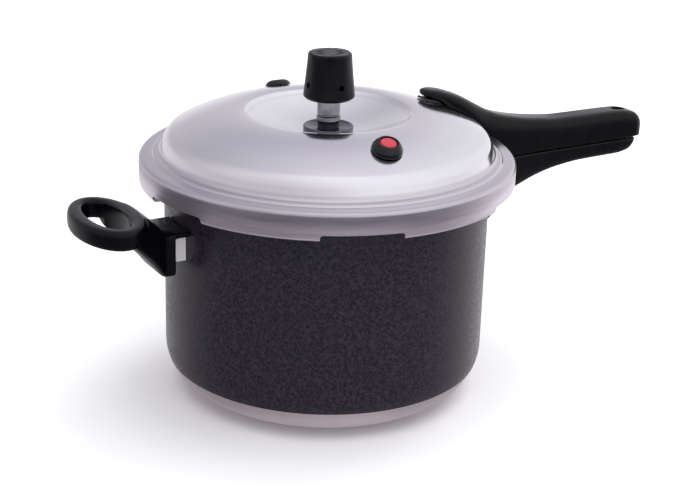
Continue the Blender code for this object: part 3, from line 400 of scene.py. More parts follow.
# %% [markdown]
# Small metal parts differ only in colour, shine and grain, so one function makes them all. The
# brackets are cast: duller, paler and pitted by the mould, with edges that are knocked bright.

# %% Finishes: small metal parts and the gasket
def make_small_metal(name, light, dark, low, high, fineness):
    material, tree, shader = new_material(name, Metallic=1.0)
    rings = place(tree, spun_rings, Fineness=fineness, Drift=1.0)
    marks = place(tree, handling, Scale=90.0)["Smudge"]
    rough = remap(tree, rings["Lines"], 0.3, 0.7, low, high)
    lay_finish(tree, shader, mix_colour(tree, marks, light, dark), rough, rings["Lines"], 0.01 * MM, 0.7)
    return material


def make_cast_aluminium():
    material, tree, shader = new_material("cast_aluminium", Metallic=0.25)
    grain = place(tree, fine_grain, Scale=1400.0)["Grain"]
    edge = place(tree, edge_rub, Low=0.52, High=0.60)["Mask"]
    tone = mix_colour(tree, grain, (0.90, 0.88, 0.89), (0.98, 0.965, 0.97))
    colour = mix_colour(tree, edge, tone, (0.94, 0.93, 0.94))
    lay_finish(tree, shader, colour, remap(tree, grain, 0.3, 0.7, 0.38, 0.52), grain, 0.05 * MM, 0.6)
    return material


def make_gasket_rubber():
    material, tree, shader = new_material("gasket_rubber", IOR=1.45)
    grain = place(tree, fine_grain, Scale=1600.0)["Grain"]
    colour = mix_colour(tree, grain, (0.40, 0.40, 0.41), (0.50, 0.50, 0.50))
    lay_finish(tree, shader, colour, remap(tree, grain, 0.3, 0.7, 0.55, 0.72), grain, 0.03 * MM, 0.6)
    return material


vent_chrome = make_small_metal("vent_chrome", (0.30, 0.29, 0.32), (0.16, 0.155, 0.175), 0.06, 0.14, 3200.0)
# painted shade: the dish takes a darker copy of the vent chrome, as it sits under the weight
vent_dish_shaded_chrome = make_small_metal("vent_dish_shaded_chrome", (0.15, 0.14, 0.165), (0.08, 0.075, 0.09),
                                   0.12, 0.22, 2600.0)
screw_steel = make_small_metal("screw_steel", (0.62, 0.62, 0.64), (0.50, 0.50, 0.52), 0.22, 0.36, 3600.0)
strap_steel = make_small_metal("strap_steel", (0.10, 0.10, 0.11), (0.06, 0.06, 0.065), 0.26, 0.42, 20000.0)
rivet_aluminium = make_small_metal("rivet_aluminium", (0.78, 0.78, 0.80), (0.70, 0.70, 0.72),
                                   0.24, 0.38, 3000.0)
slug_brass = make_small_metal("slug_brass", (0.72, 0.56, 0.28), (0.60, 0.45, 0.20), 0.25, 0.38, 2400.0)
cast_aluminium = make_cast_aluminium()
gasket_rubber = make_gasket_rubber()
print("finishes", vent_chrome.name, vent_dish_shaded_chrome.name, screw_steel.name, strap_steel.name,
      rivet_aluminium.name, slug_brass.name, cast_aluminium.name, gasket_rubber.name)

# %% [markdown]
# ## Helpers for meshes
#
# Most of a cooker is turned: a profile swept round an axis. Blender's Screw modifier and
# bmesh's spin both do it. Writing the rings directly takes as little code, and allows a shape
# to be changed as it goes round. Corners of a profile are given with a fillet radius, because
# a pressed or moulded corner is never sharp, and that small radius is what catches the light.

# %% Mesh helpers
def arc_line(centre, radius, start, end, count):
    """Points on an arc in the (radius, height) plane."""
    angles = [start + (end - start) * i / count for i in range(count + 1)]
    return [(centre[0] + radius * math.cos(a), centre[1] + radius * math.sin(a)) for a in angles]


def rounded_line(corners, steps=5):
    """A line through (radius, height, fillet) corners, each rounded by its fillet."""
    line = []
    for i, (r, z, fillet) in enumerate(corners):
        here = Vector((r, z))
        if fillet == 0 or i in (0, len(corners) - 1):
            line.append(tuple(here))
            continue
        before = Vector(corners[i - 1][:2]) - here
        after = Vector(corners[i + 1][:2]) - here
        reach = fillet / math.tan(before.angle(after) / 2)
        reach = min(reach, 0.48 * before.length, 0.48 * after.length)
        start = here + before.normalized() * reach
        end = here + after.normalized() * reach
        for k in range(steps + 1):
            t = k / steps
            line.append(tuple(start * (1 - t) ** 2 + here * 2 * t * (1 - t) + end * t ** 2))
    return line


def as_object(name, bm, matrix=None):
    bmesh.ops.remove_doubles(bm, verts=bm.verts, dist=1e-6)
    bmesh.ops.recalc_face_normals(bm, faces=bm.faces)
    mesh = bpy.data.meshes.new(name)
    bm.to_mesh(mesh)
    bm.free()
    obj = bpy.data.objects.new(name, mesh)
    bpy.context.scene.collection.objects.link(obj)
    if matrix is not None:
        obj.matrix_world = matrix
    return obj


def polar(radius, angle, z):
    return radius * math.cos(angle), radius * math.sin(angle), z


def skin(name, rings, closed=False, caps=False, matrix=None):
    """Join rings of points, each to the next one. A ring of one point is a pole."""
    bm = bmesh.new()
    loops = [[bm.verts.new(point) for point in ring] for ring in rings]
    pairs = list(zip(loops, loops[1:])) + ([(loops[-1], loops[0])] if closed else [])
    for loop_a, loop_b in pairs:
        for k in range(max(len(loop_a), len(loop_b))):
            corners = [loop_a[k % len(loop_a)], loop_a[(k + 1) % len(loop_a)],
                       loop_b[(k + 1) % len(loop_b)], loop_b[k % len(loop_b)]]
            unique = list(dict.fromkeys(corners))
            if len(unique) > 2:
                bm.faces.new(unique)
    if caps:
        bm.faces.new(loops[0])
        bm.faces.new(loops[-1])
    return as_object(name, bm, matrix)


def turned(name, line, steps=192, closed=False, reshape=None, matrix=None):
    """Sweep a line round Z. reshape(r, z, angle) may move each point as it goes round."""
    rings = []
    for r, z in line:
        ring = []
        for k in range(1 if r < 1e-7 else steps):
            angle = 2 * math.pi * k / steps
            radius, height = reshape(r, z, angle) if reshape else (r, z)
            ring.append(polar(radius, angle, height))
        rings.append(ring)
    return skin(name, rings, closed, matrix=matrix)


def box_object(name, low, high, bevel=0.0, segments=3, matrix=None):
    bm = bmesh.new()
    bmesh.ops.create_cube(bm, size=1.0)
    bmesh.ops.scale(bm, verts=bm.verts, vec=Vector(high) - Vector(low))
    bmesh.ops.translate(bm, verts=bm.verts, vec=(Vector(high) + Vector(low)) / 2)
    if bevel:
        bmesh.ops.bevel(bm, geom=bm.edges[:], offset=bevel, segments=segments, profile=0.5, affect="EDGES")
    return as_object(name, bm, matrix)


def rod(name, radius, low, high, matrix=None, steps=48, stretch=1.0):
    """A cylinder along Z from low to high; stretch widens it along X."""
    bm = bmesh.new()
    bmesh.ops.create_cone(bm, cap_ends=True, segments=steps, radius1=radius, radius2=radius, depth=high - low)
    bmesh.ops.translate(bm, verts=bm.verts, vec=(0, 0, (low + high) / 2))
    bmesh.ops.scale(bm, verts=bm.verts, vec=(stretch, 1, 1))
    return as_object(name, bm, matrix)


def keep(obj):
    """Turn an object's modifiers into its mesh."""
    shape = obj.evaluated_get(bpy.context.evaluated_depsgraph_get())
    mesh = bpy.data.meshes.new_from_object(shape)
    obj.modifiers.clear()
    obj.data = mesh
    return obj


def carve(obj, cutters, operation="DIFFERENCE"):
    """Cut away, or join on, a list of closed shapes, then remove them."""
    for cutter in cutters:
        modifier = obj.modifiers.new(cutter.name, "BOOLEAN")
        modifier.operation = operation
        modifier.object = cutter
    keep(obj)
    for cutter in cutters:
        bpy.data.objects.remove(cutter)
    return obj


MOULD_VOXEL = 0.62 * MM      # small enough to keep the screw holes round
MOULD_ROUNDS = 5


def soften(obj):
    """Give a joined shape an even mesh and round all its edges, as a mould does."""
    even = obj.modifiers.new("even mesh", "REMESH")
    even.mode = "VOXEL"
    even.voxel_size = MOULD_VOXEL
    rounding = obj.modifiers.new("round edges", "SMOOTH")
    rounding.factor = 0.5
    rounding.iterations = MOULD_ROUNDS
    return keep(obj)


def show(obj, finish, body, slot, *nodes, sharp=40):
    """Give a finished piece its material, its body and the CAD nodes it stands for."""
    obj.data.materials.clear()
    for material in finish if isinstance(finish, list) else [finish]:
        obj.data.materials.append(material)
    obj.data.shade_smooth()
    obj.data.set_sharp_from_angle(angle=sharp * DEG)
    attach(obj, body)
    if nodes:
        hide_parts(*nodes)
    print(f"{obj.name}: {len(obj.data.polygons)} faces on {body}")
    return obj


print("mesh helpers ready")

# %% [markdown]
# ## The lid
#
# A press forms the lid from one sheet: a shallow recess for the valve, a crowned dome, a
# rounded shoulder, a flat flange and a skirt whose six tabs curl in under the pot's lugs. One
# profile holds all of it. The underside is the same line moved in by the sheet's thickness,
# and the windows between the tabs are cut afterwards.

# %% Lid sizes
POT_R = 104 * MM
POT_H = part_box("pot_body")[1].z
CREST_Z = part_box("lid_shell")[1].z
SKIRT_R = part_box("lid_shell")[1].x
TAB_BOTTOM_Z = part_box("lid_shell")[0].z
LID_T = 2.3 * MM
FLANGE_Z = POT_H + 7.5 * MM
SHOULDER_R = POT_R + 0.8 * MM
SHOULDER_FILLET = 11 * MM
SHOULDER_SLOPE = 27.5 * DEG
SHOULDER_TOP_R = SHOULDER_R - SHOULDER_FILLET * (1 - math.sin(SHOULDER_SLOPE))
SHOULDER_FOOT_Z = FLANGE_Z + 5.8 * MM
CREST_R = 58 * MM
DOME_RISE = CREST_Z - SHOULDER_FOOT_Z - SHOULDER_FILLET * math.cos(SHOULDER_SLOPE)
DOME_POWER = 1.7
RECESS_R = 48.5 * MM
RECESS_STEP = 3.6 * MM
DISH_DEPTH = 14.5 * MM
DISH_FLOOR_R = 16.5 * MM
VENT_HOLE_R = 5.3 * MM
EDGE_R = 2.7 * MM
CURL_R = 2.8 * MM
LUG_COUNT = 6
LUG_PHASE = -19.5 * DEG
TAB_ANGLE = 36 * DEG
NOTCH_Z = TAB_BOTTOM_Z + 4.3 * MM
print("crest", round(CREST_Z / MM, 2), "skirt radius", round(SKIRT_R / MM, 2), "mm")


# %% Lid profile
def dome_z(radius):
    share = max(radius - CREST_R, 0) / (SHOULDER_TOP_R - CREST_R)
    return CREST_Z - DOME_RISE * share ** DOME_POWER


def dome_tilt(radius):
    """The slope of the dome at this distance from the axis."""
    step = 0.5 * MM
    return math.atan2(dome_z(radius - step) - dome_z(radius + step), 2 * step)


def dome_frame(radius, angle):
    """A frame on the dome whose Z axis stands square to the sheet."""
    spot = Matrix.Translation((radius, 0, dome_z(radius)))
    return Matrix.Rotation(angle, 4, "Z") @ spot @ Matrix.Rotation(dome_tilt(radius), 4, "Y")


def lid_line(detail=True):
    """The lid's outside, from the hole for the vent out to the end of a tab's lip."""
    floor_z, foot_z = CREST_Z - DISH_DEPTH, CREST_Z - RECESS_STEP
    line = [(VENT_HOLE_R, floor_z)]
    for i in range(20):
        share = i / 20
        radius = DISH_FLOOR_R + (RECESS_R - DISH_FLOOR_R) * share
        line.append((radius, floor_z + (foot_z - floor_z) * share ** 1.5))
    line += rounded_line([(RECESS_R, foot_z, 0), (RECESS_R + 2.3 * MM, CREST_Z - 2.4 * MM, 2.5 * MM),
                          (RECESS_R + 4.5 * MM, CREST_Z - 0.35 * MM, 2.2 * MM),
                          (CREST_R - 1 * MM, CREST_Z, 0)])
    for i in range(30):
        radius = CREST_R + (SHOULDER_TOP_R - CREST_R) * i / 30
        line.append((radius, dome_z(radius)))
    line += arc_line((SHOULDER_R - SHOULDER_FILLET, SHOULDER_FOOT_Z), SHOULDER_FILLET,
                     90 * DEG - SHOULDER_SLOPE, 15 * DEG, 14)
    inner_r, inner_z = SHOULDER_R + 3.7 * MM, FLANGE_Z + 2 * MM
    line += arc_line((inner_r, inner_z + 3 * MM), 3 * MM, 195 * DEG, 270 * DEG, 8)
    if detail:
        line += rounded_line([(inner_r + 0.2 * MM, inner_z, 0),
                              (SHOULDER_R + 5.8 * MM, FLANGE_Z + 1.5 * MM, 0.5 * MM),
                              (SHOULDER_R + 6.6 * MM, FLANGE_Z + 0.5 * MM, 0.5 * MM),
                              (SHOULDER_R + 9 * MM, FLANGE_Z + 0.3 * MM, 0)], 4)
    else:
        line.append((SHOULDER_R + 7.2 * MM, FLANGE_Z + 0.5 * MM))
    line += arc_line((SKIRT_R - EDGE_R, FLANGE_Z - EDGE_R), EDGE_R, 90 * DEG, 0, 8)
    line += arc_line((SKIRT_R - CURL_R, TAB_BOTTOM_Z + CURL_R), CURL_R, 0, -90 * DEG, 8)
    line.append((SKIRT_R - CURL_R - 6 * MM, TAB_BOTTOM_Z))
    return line


def offset_line(line, distance):
    """Move a line sideways along its normals; positive is outward."""
    moved = []
    for i, (radius, height) in enumerate(line):
        before, after = line[max(i - 1, 0)], line[min(i + 1, len(line) - 1)]
        along = Vector((after[0] - before[0], after[1] - before[1])).normalized()
        moved.append((radius - along.y * distance, height + along.x * distance))
    return moved


print("lid profile has", len(lid_line()), "points")


# %% Lid mesh
def window(index):
    """The opening between two tabs, with rounded upper corners."""
    middle = LUG_PHASE + (index + 0.5) * 2 * math.pi / LUG_COUNT
    reach = (math.pi / LUG_COUNT - TAB_ANGLE / 2) * SKIRT_R
    side = rounded_line([(reach, TAB_BOTTOM_Z - 6 * MM, 0), (reach, NOTCH_Z, 2.5 * MM), (0, NOTCH_Z, 0)], 6)
    outline = side + [(-along, z) for along, z in side[-2::-1]]
    rings = [[polar(radius, middle + along / SKIRT_R, z) for along, z in outline]
             for radius in (POT_R - 6 * MM, SKIRT_R + 6 * MM)]
    return skin(f"window_{index}", rings, caps=True)


VALVE_RING_R = 80.5 * MM
INDICATOR_PLACE = dome_frame(VALVE_RING_R, -94.5 * DEG)
PLUG_PLACE = dome_frame(VALVE_RING_R, 85.5 * DEG)
VALVE_HOLE_R = 7.5 * MM
STRAP_SCREWS = (POT_R - 20.5 * MM, POT_R - 11 * MM)
SCREW_HOLE_R = 2.3 * MM

underside = offset_line(lid_line(detail=False), -LID_T)
lid = turned("lid_pressing", lid_line() + underside[::-1], 288, closed=True)
cutters = [window(i) for i in range(LUG_COUNT)]
cutters += [rod("valve_hole", VALVE_HOLE_R, -8 * MM, 8 * MM, spot) for spot in (INDICATOR_PLACE, PLUG_PLACE)]
cutters += [rod("screw_hole", SCREW_HOLE_R, -8 * MM, 8 * MM, dome_frame(r, 0)) for r in STRAP_SCREWS]
carve(lid, cutters)
show(lid, lid_finish, "lid", "polished_aluminium", "lid_shell", sharp=35)

# %% [markdown]
# ## The pot
#
# The pot is drawn and then turned: a flat floor, a generous corner, a straight wall and a
# rolled rim with six lugs just under it. The paint stops part of the way down the corner, at
# the edge that the lathe leaves, so the profile has a step of a fifth of a millimetre there.
# The lugs could be modelled on the rim by hand. Joining six small solids is easier to repeat.

# %% Pot mesh
POT_WALL = 3 * MM
POT_BASE = 5 * MM
POT_CORNER = 30 * MM
PAINT_EDGE_Z = 19.5 * MM
PAINT_T = 0.2 * MM
LUG_REACH = 11.8 * MM
LUG_ANGLE = 22 * DEG
LUG_T = 4.4 * MM
LIP_T = 3 * MM
RIVET_HOLE_R = 2.5 * MM
BASE_GROOVES = (64 * MM, 52 * MM, 40 * MM, 28 * MM, 16 * MM)


def pot_line():
    """A closed line: up the inside, over the rim, down the outside and in under the base."""
    inner_r = POT_R - POT_WALL
    inner_corner = POT_CORNER - POT_WALL
    line = [(0, POT_BASE)]
    line += arc_line((inner_r - inner_corner, POT_BASE + inner_corner), inner_corner, -90 * DEG, 0, 12)
    lip_r = POT_R + 3.5 * MM
    line += rounded_line([(inner_r, POT_H - 5 * MM, 0), (inner_r, POT_H, 0.8 * MM),
                          (lip_r, POT_H, 1.1 * MM), (lip_r, POT_H - LIP_T, 0.6 * MM),
                          (POT_R, POT_H - LIP_T, 0.8 * MM),
                          (POT_R, POT_H - 12 * MM, 0)])
    centre = (POT_R - POT_CORNER, POT_CORNER)
    edge = math.asin((PAINT_EDGE_Z - POT_CORNER) / POT_CORNER)
    line += arc_line(centre, POT_CORNER, 0, edge, 8)
    for i in range(17):
        share = i / 16
        angle = edge + (-90 * DEG - edge) * share
        radius = POT_CORNER - PAINT_T * (1 - share) ** 2
        line.append((centre[0] + radius * math.cos(angle), centre[1] + radius * math.sin(angle)))
    for radius in BASE_GROOVES:
        line += [(radius, 0), (radius - 0.4 * MM, 0.4 * MM),
                 (radius - 1.0 * MM, 0.4 * MM), (radius - 1.4 * MM, 0)]
    return line + [(0, 0)]


def lug(index):
    """One bayonet lug, with softened corners."""
    top, low, edge = POT_H - LIP_T + 0.4 * MM, POT_H - LIP_T - LUG_T, POT_R + LUG_REACH
    root = POT_R - POT_WALL / 2
    outline = rounded_line([(root, top, 0), (edge, top - 0.4 * MM, 1.4 * MM), (edge, low, 1.0 * MM),
                            (root, low, 0)], 3)
    middle = LUG_PHASE + index * 2 * math.pi / LUG_COUNT
    rings = [[polar(r, middle + LUG_ANGLE * (i / 12 - 0.5), z) for r, z in outline] for i in range(13)]
    return skin(f"lug_{index}", rings, caps=True)


def wall_frame(angle, y, x, z):
    """A frame whose Z axis points straight out of the pot's wall."""
    spot = Matrix.Translation((x, y, z))
    return Matrix.Rotation(angle, 4, "Z") @ spot @ Matrix.Rotation(90 * DEG, 4, "Y")


BRACKET_Z = (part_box("side_handle_bracket")[0].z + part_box("side_handle_bracket")[1].z) / 2
RIVET_SPREAD = 6.2 * MM

pot = turned("pot_drawn_body", pot_line(), 288)
carve(pot, [lug(i) for i in range(LUG_COUNT)], "UNION")
carve(pot, [rod("rivet_hole", RIVET_HOLE_R, 0, 12 * MM, wall_frame(side, y, POT_R - 6 * MM, BRACKET_Z), 16)
            for side in (0, math.pi) for y in (-RIVET_SPREAD, RIVET_SPREAD)])
show(pot, [hammered_paint, turned_aluminium], "pot", "coated_aluminium", "pot_body", sharp=30)
painted_top = POT_H - LIP_T - LUG_T - 0.2 * MM
for face in pot.data.polygons:
    centre = face.center
    outside = math.hypot(centre.x, centre.y) > POT_R - 1.2 * MM - max(0, POT_CORNER - centre.z)
    bare = not outside or centre.z < PAINT_EDGE_Z - 0.05 * MM or centre.z > painted_top
    face.material_index = 1 if bare else 0
print("painted faces:", sum(1 for face in pot.data.polygons if face.material_index == 0))

# %% [markdown]
# ## The handles
#
# A moulded handle is a loft through a few cross-sections. Joining them with straight spans
# shows every section as a crease, so here the section values are read from a monotone curve,
# which never overshoots between two of them. Each section is a superellipse: 2 is round, and
# larger numbers are squarer. The joins with the pot and the lid are cut, and then the whole
# shape is given an even mesh and smoothed, which leaves the small radius a mould would.

# %% Handle sizes
PARTING_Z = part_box("lower_handle")[1].z
UPPER_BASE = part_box("upper_handle")[0].z
HANDLE_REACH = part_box("upper_handle")[1].x - POT_R
GRIP_HALF = 11.2 * MM
BRACKET_DEPTH = 9 * MM
SEAT = 0.3 * MM
PLATE_T = 6.6 * MM
PLATE_HALF = 17 * MM
PLATE_LOW = BRACKET_Z - 15.5 * MM
HOOD_Z = BRACKET_Z + 12.5 * MM
STEP_Z = BRACKET_Z + 18.5 * MM      # where the lower grip steps down to pass under the skirt
CUT_HALF = 40 * MM                  # half the width of a cutting block, well past the handle
CUT_END_X = POT_R + HANDLE_REACH + 20 * MM
SCREW_HEAD_R = 3.9 * MM
SCREW_X = POT_R + BRACKET_DEPTH + SEAT + PLATE_T * 0.7
print("handle reach", round(HANDLE_REACH / MM, 1), "mm, parting face at", round(PARTING_Z / MM, 1), "mm")


# %% Lofting helpers
def monotone(xs, ys, x):
    """A smooth value between samples that never overshoots them."""
    i = sum(1 for value in xs[1:-1] if value <= x)
    gaps = [b - a for a, b in zip(xs, xs[1:])]
    rises = [(b - a) / gap for a, b, gap in zip(ys, ys[1:], gaps)]

    def slope(k):
        if k in (0, len(xs) - 1):
            return rises[0] if k == 0 else rises[-1]
        before, after = rises[k - 1], rises[k]
        if before * after <= 0:
            return 0.0
        weight_a, weight_b = 2 * gaps[k] + gaps[k - 1], gaps[k] + 2 * gaps[k - 1]
        return (weight_a + weight_b) / (weight_a / before + weight_b / after)

    gap, t = gaps[i], (x - xs[i]) / gaps[i]
    return ((1 + 2 * t) * (1 - t) ** 2 * ys[i] + t * (1 - t) ** 2 * gap * slope(i)
            + t * t * (3 - 2 * t) * ys[i + 1] + t * t * (t - 1) * gap * slope(i + 1))


def signed_power(value, power):
    """Raise the size of a number to a power and keep its sign."""
    return math.copysign(abs(value) ** power, value)


def loft(name, sections, matrix=None, spans=130, points=72):
    """A closed solid through (x, top, bottom, half width, squareness) sections."""
    columns = list(zip(*sorted(sections)))
    xs = columns[0]
    rings = []
    for i in range(spans + 1):
        share = 0.5 - 0.5 * math.cos(math.pi * i / spans)        # rings gather near both ends
        x = xs[0] + (xs[-1] - xs[0]) * (0.6 * share + 0.4 * i / spans)
        top, bottom, half, square = [monotone(xs, column, x) for column in columns[1:]]
        ring = []
        for j in range(points):
            angle = 2 * math.pi * j / points
            y = half * signed_power(math.cos(angle), 2 / square)
            z = (top + bottom) / 2 + (top - bottom) / 2 * signed_power(math.sin(angle), 2 / square)
            ring.append((x, y, z))
        rings.append(ring)
    return skin(name, rings, caps=True, matrix=matrix)


def pot_side(name):
    """The space that the pot's wall takes up, with a seat gap."""
    return rod(name, POT_R + SEAT, 0, POT_H - 20 * MM, steps=192)


def lid_space(name, clearance):
    """Everything under the lid's outside, grown by a clearance."""
    edge_z = FLANGE_Z - EDGE_R
    line = [(r, z) for r, z in offset_line(lid_line(detail=False), clearance)
            if z > edge_z + 0.1 * MM and r > RECESS_R + 5 * MM]
    side_r, low = SKIRT_R + clearance, PARTING_Z - 20 * MM
    return turned(name, [(0, line[0][1])] + line + [(side_r, edge_z), (side_r, low), (0, low)], 192)


def hood(name, top, angle=0.0):
    """The ledge that reaches over the bracket to the pot's wall."""
    low = (POT_R - 8 * MM, -PLATE_HALF + 0.6 * MM, BRACKET_Z + 8.9 * MM)
    high = (POT_R + BRACKET_DEPTH + 4 * MM, PLATE_HALF - 0.6 * MM, top)
    return box_object(name, low, high, 0.8 * MM, matrix=Matrix.Rotation(angle, 4, "Z"))


def screw_space(angle):
    """The counterbore and the clearance hole for a handle's screw."""
    return [rod("clear_hole", SCREW_HOLE_R, 0, 20 * MM, wall_frame(angle, 0, POT_R + 5 * MM, BRACKET_Z)),
            rod("counterbore", SCREW_HEAD_R + 0.8 * MM, 0, 60 * MM, wall_frame(angle, 0, SCREW_X, BRACKET_Z))]


print("lofting helpers ready")

# %% [markdown]
# The upper half of the long handle rides on the lid. Its tongue lies along the dome, over a
# steel strap, so a shallow channel is cut for the strap. Sections of the tongue follow the
# dome's own height, and sections of the grip are measured from the flat parting face.

# %% Upper half of the long handle
def tongue(inward, over, under, half, square):
    """A section of the tongue that lies on the lid."""
    x = POT_R - inward * MM
    return (x, dome_z(x) + over * MM, dome_z(x) + under * MM, half * MM, square)


def grip(outward, above, below, half, square):
    """A section of the upper half, measured from its flat underside."""
    return (POT_R + outward, UPPER_BASE + above * MM, UPPER_BASE - below * MM, half, square)


CHANNEL_FRONT, CHANNEL_REAR = POT_R - 33.8 * MM, POT_R - 6.2 * MM
CHANNEL_TOP, CHANNEL_HALF = 2.1 * MM, 6.3 * MM


def strap_space(name):
    """The shallow channel over the steel strap, with a gap all round it."""
    xs = [CHANNEL_FRONT + (CHANNEL_REAR - CHANNEL_FRONT) * i / 24 for i in range(25)]
    outline = [(x, dome_z(x) + CHANNEL_TOP) for x in xs]
    outline += [(x, dome_z(x) - 0.3 * MM) for x in reversed(xs)]
    return skin(name, [[(x, y, z) for x, z in outline] for y in (-CHANNEL_HALF, CHANNEL_HALF)], caps=True)


near, far = 56 * MM, HANDLE_REACH - 18 * MM
upper = loft("upper_handle_moulding", [
    tongue(34.0, 5.2, 3.4, 3.2, 2.2), tongue(32.4, 6.9, 2.6, 6.2, 2.4), tongue(29, 8.1, 1.9, 8.8, 2.6),
    tongue(24, 9.2, 0.6, 10.4, 2.8), tongue(16, 10.2, -4, 11.8, 3.0), tongue(8, 10.9, -9, 12.6, 3.0),
    grip(0, 40.9, -14, 13.0 * MM, 3.0), grip(8 * MM, 36.5, 6, 13.2 * MM, 3.2),
    grip(16 * MM, 32.3, 20, 13.2 * MM, 3.6), grip(26 * MM, 28.6, 20, 12.9 * MM, 4.0),
    grip(38 * MM, 25.5, 20, 12.4 * MM, 4.4), grip(near, 22.3, 20, 11.7 * MM, 5.0),
    grip(near + (far - near) / 3, 19.9, 19.9, GRIP_HALF, 5.0),
    grip(near + (far - near) * 0.73, 19.7, 19.7, GRIP_HALF, 5.0),
    grip(far, 19.3, 19.3, GRIP_HALF + 0.1 * MM, 5.0),
    grip(HANDLE_REACH - 7 * MM, 17.5, 17.5, GRIP_HALF, 4.5),
    grip(HANDLE_REACH - 2 * MM, 14.2, 8, 9.6 * MM, 4.0),
    grip(HANDLE_REACH - 0.05 * MM, 10.8, -2.5, 7.4 * MM, 3.5)])
parting = box_object("parting", (POT_R - 60 * MM, -CUT_HALF, UPPER_BASE - 60 * MM),
                     (CUT_END_X, CUT_HALF, UPPER_BASE))
hang_place = Matrix.Translation((POT_R + HANDLE_REACH - 16 * MM, 0, UPPER_BASE))
hang_hole = rod("hang_hole", 3.6 * MM, -20 * MM, 60 * MM, hang_place, stretch=1.5)
holes = [rod("screw_hole", SCREW_HOLE_R, 0, 7.5 * MM, dome_frame(r, 0)) for r in STRAP_SCREWS]
carve(upper, [lid_space("lid_space", 0.5 * MM), parting, strap_space("strap_channel"), hang_hole] + holes)
soften(upper)
show(upper, phenolic, "lid", "phenolic", "upper_handle", sharp=70)

# %% [markdown]
# The lower half stays on the pot. A loft's sections are the same above and below their
# middle, so the shape is lofted about the parting face and its top half is cut off. A ledge
# is joined on where the moulding reaches over its bracket to the wall.

# %% Lower half of the long handle
def root(outward, below, half, square):
    """A section of the lower half, mirrored about the parting face, where it is then cut."""
    return (POT_R + outward, PARTING_Z + below, PARTING_Z - below, half, square)


seat_x = BRACKET_DEPTH + SEAT
deep = PARTING_Z - PLATE_LOW
near, far = 46 * MM, HANDLE_REACH - 21 * MM
lower = loft("lower_handle_moulding", [
    root(seat_x, deep, PLATE_HALF, 7), root(seat_x + PLATE_T - 0.6 * MM, deep, PLATE_HALF, 7),
    root(seat_x + PLATE_T + 5.5 * MM, deep - 5.6 * MM, PLATE_HALF - 1.5 * MM, 6),
    root(28 * MM, deep - 10.8 * MM, 14.2 * MM, 5), root(36 * MM, 26 * MM, 12.9 * MM, 4.5),
    root(near, 21.8 * MM, 12.2 * MM, 4.5), root(near + (far - near) * 0.18, 16.8 * MM, 11.6 * MM, 4.5),
    root(near + (far - near) * 0.37, 13.6 * MM, GRIP_HALF, 4.5),
    root(near + (far - near) * 0.61, 11.6 * MM, GRIP_HALF, 4.5),
    root(near + (far - near) * 0.85, 11.2 * MM, GRIP_HALF, 4.5), root(far, 11 * MM, GRIP_HALF, 4.5),
    root(HANDLE_REACH - 11 * MM, 9.6 * MM, GRIP_HALF - 0.5 * MM, 4),
    root(HANDLE_REACH - 6.2 * MM, 5.8 * MM, 9.6 * MM, 3.5),
    root(HANDLE_REACH - 5 * MM, 2.2 * MM, 8.2 * MM, 3.5)])
carve(lower, [hood("ledge", STEP_Z)], "UNION")
start_x = POT_R - 20 * MM
top_cut = box_object("top_cut", (start_x, -CUT_HALF, PARTING_Z), (CUT_END_X, CUT_HALF, PARTING_Z + 80 * MM))
step_cut = box_object("step_cut", (start_x, -CUT_HALF, STEP_Z),
                      (SKIRT_R + 1 * MM, CUT_HALF, PARTING_Z + 70 * MM))
carve(lower, [pot_side("wall"), top_cut, step_cut] + screw_space(0))
soften(lower)
show(lower, phenolic, "pot", "phenolic", "lower_handle", sharp=70)

# %% [markdown]
# The side handle is a flat oval loop on a short neck. Its finger opening is an ellipse with
# the same centre as the loop, so one cut gives it an even inner wall.

# %% Side handle
LOOP_Z = BRACKET_Z + 13.7 * MM
LOOP_T = 12.3 * MM
LOOP_X = POT_R + 46.8 * MM
LOOP_HOLE = (10.6 * MM, 27.5 * MM)
LOOP_BAND = (10.2 * MM, 9.0 * MM)
LOOP_SQUARE = 3.6


def loop_ring(name, matrix, steps=144, points=40):
    """The loop itself: a squarish band swept round an ellipse."""
    rings = []
    for i in range(steps):
        turn = 2 * math.pi * i / steps
        ring = []
        for j in range(points):
            angle = 2 * math.pi * j / points
            across = 0.5 + 0.5 * signed_power(math.cos(angle), 2 / LOOP_SQUARE)
            rise = 1 + signed_power(math.sin(angle), 2 / LOOP_SQUARE)
            x = LOOP_X + (LOOP_HOLE[0] + LOOP_BAND[0] * across) * math.cos(turn)
            y = (LOOP_HOLE[1] + LOOP_BAND[1] * across) * math.sin(turn)
            ring.append((x, y, LOOP_Z + LOOP_T / 2 * rise))
        rings.append(ring)
    return skin(name, rings, closed=True, matrix=matrix)


half_turn = Matrix.Rotation(math.pi, 4, "Z")
loop_top = LOOP_Z + LOOP_T
side = loft("side_handle_moulding", [
    (POT_R + seat_x, HOOD_Z, PLATE_LOW, PLATE_HALF, 8),
    (POT_R + seat_x + PLATE_T - 0.6 * MM, HOOD_Z + 1.6 * MM, PLATE_LOW, PLATE_HALF, 8),
    (POT_R + 22 * MM, loop_top - 5 * MM, PLATE_LOW + 7 * MM, PLATE_HALF + 4 * MM, 6),
    (POT_R + 29 * MM, loop_top - 0.6 * MM, PLATE_LOW + 14.5 * MM, PLATE_HALF + 8 * MM, 5),
    (POT_R + 35 * MM, loop_top - 0.3 * MM, PLATE_LOW + 20.5 * MM, PLATE_HALF + 11 * MM, 5),
    (POT_R + 40 * MM, loop_top - 0.6 * MM, PLATE_LOW + 25.5 * MM, PLATE_HALF + 13.5 * MM, 5)], half_turn)
carve(side, [loop_ring("loop", half_turn), hood("side_hood", HOOD_Z - 0.3 * MM, math.pi)], "UNION")
opening_place = half_turn @ Matrix.Translation((LOOP_X, 0, LOOP_Z - 40 * MM))
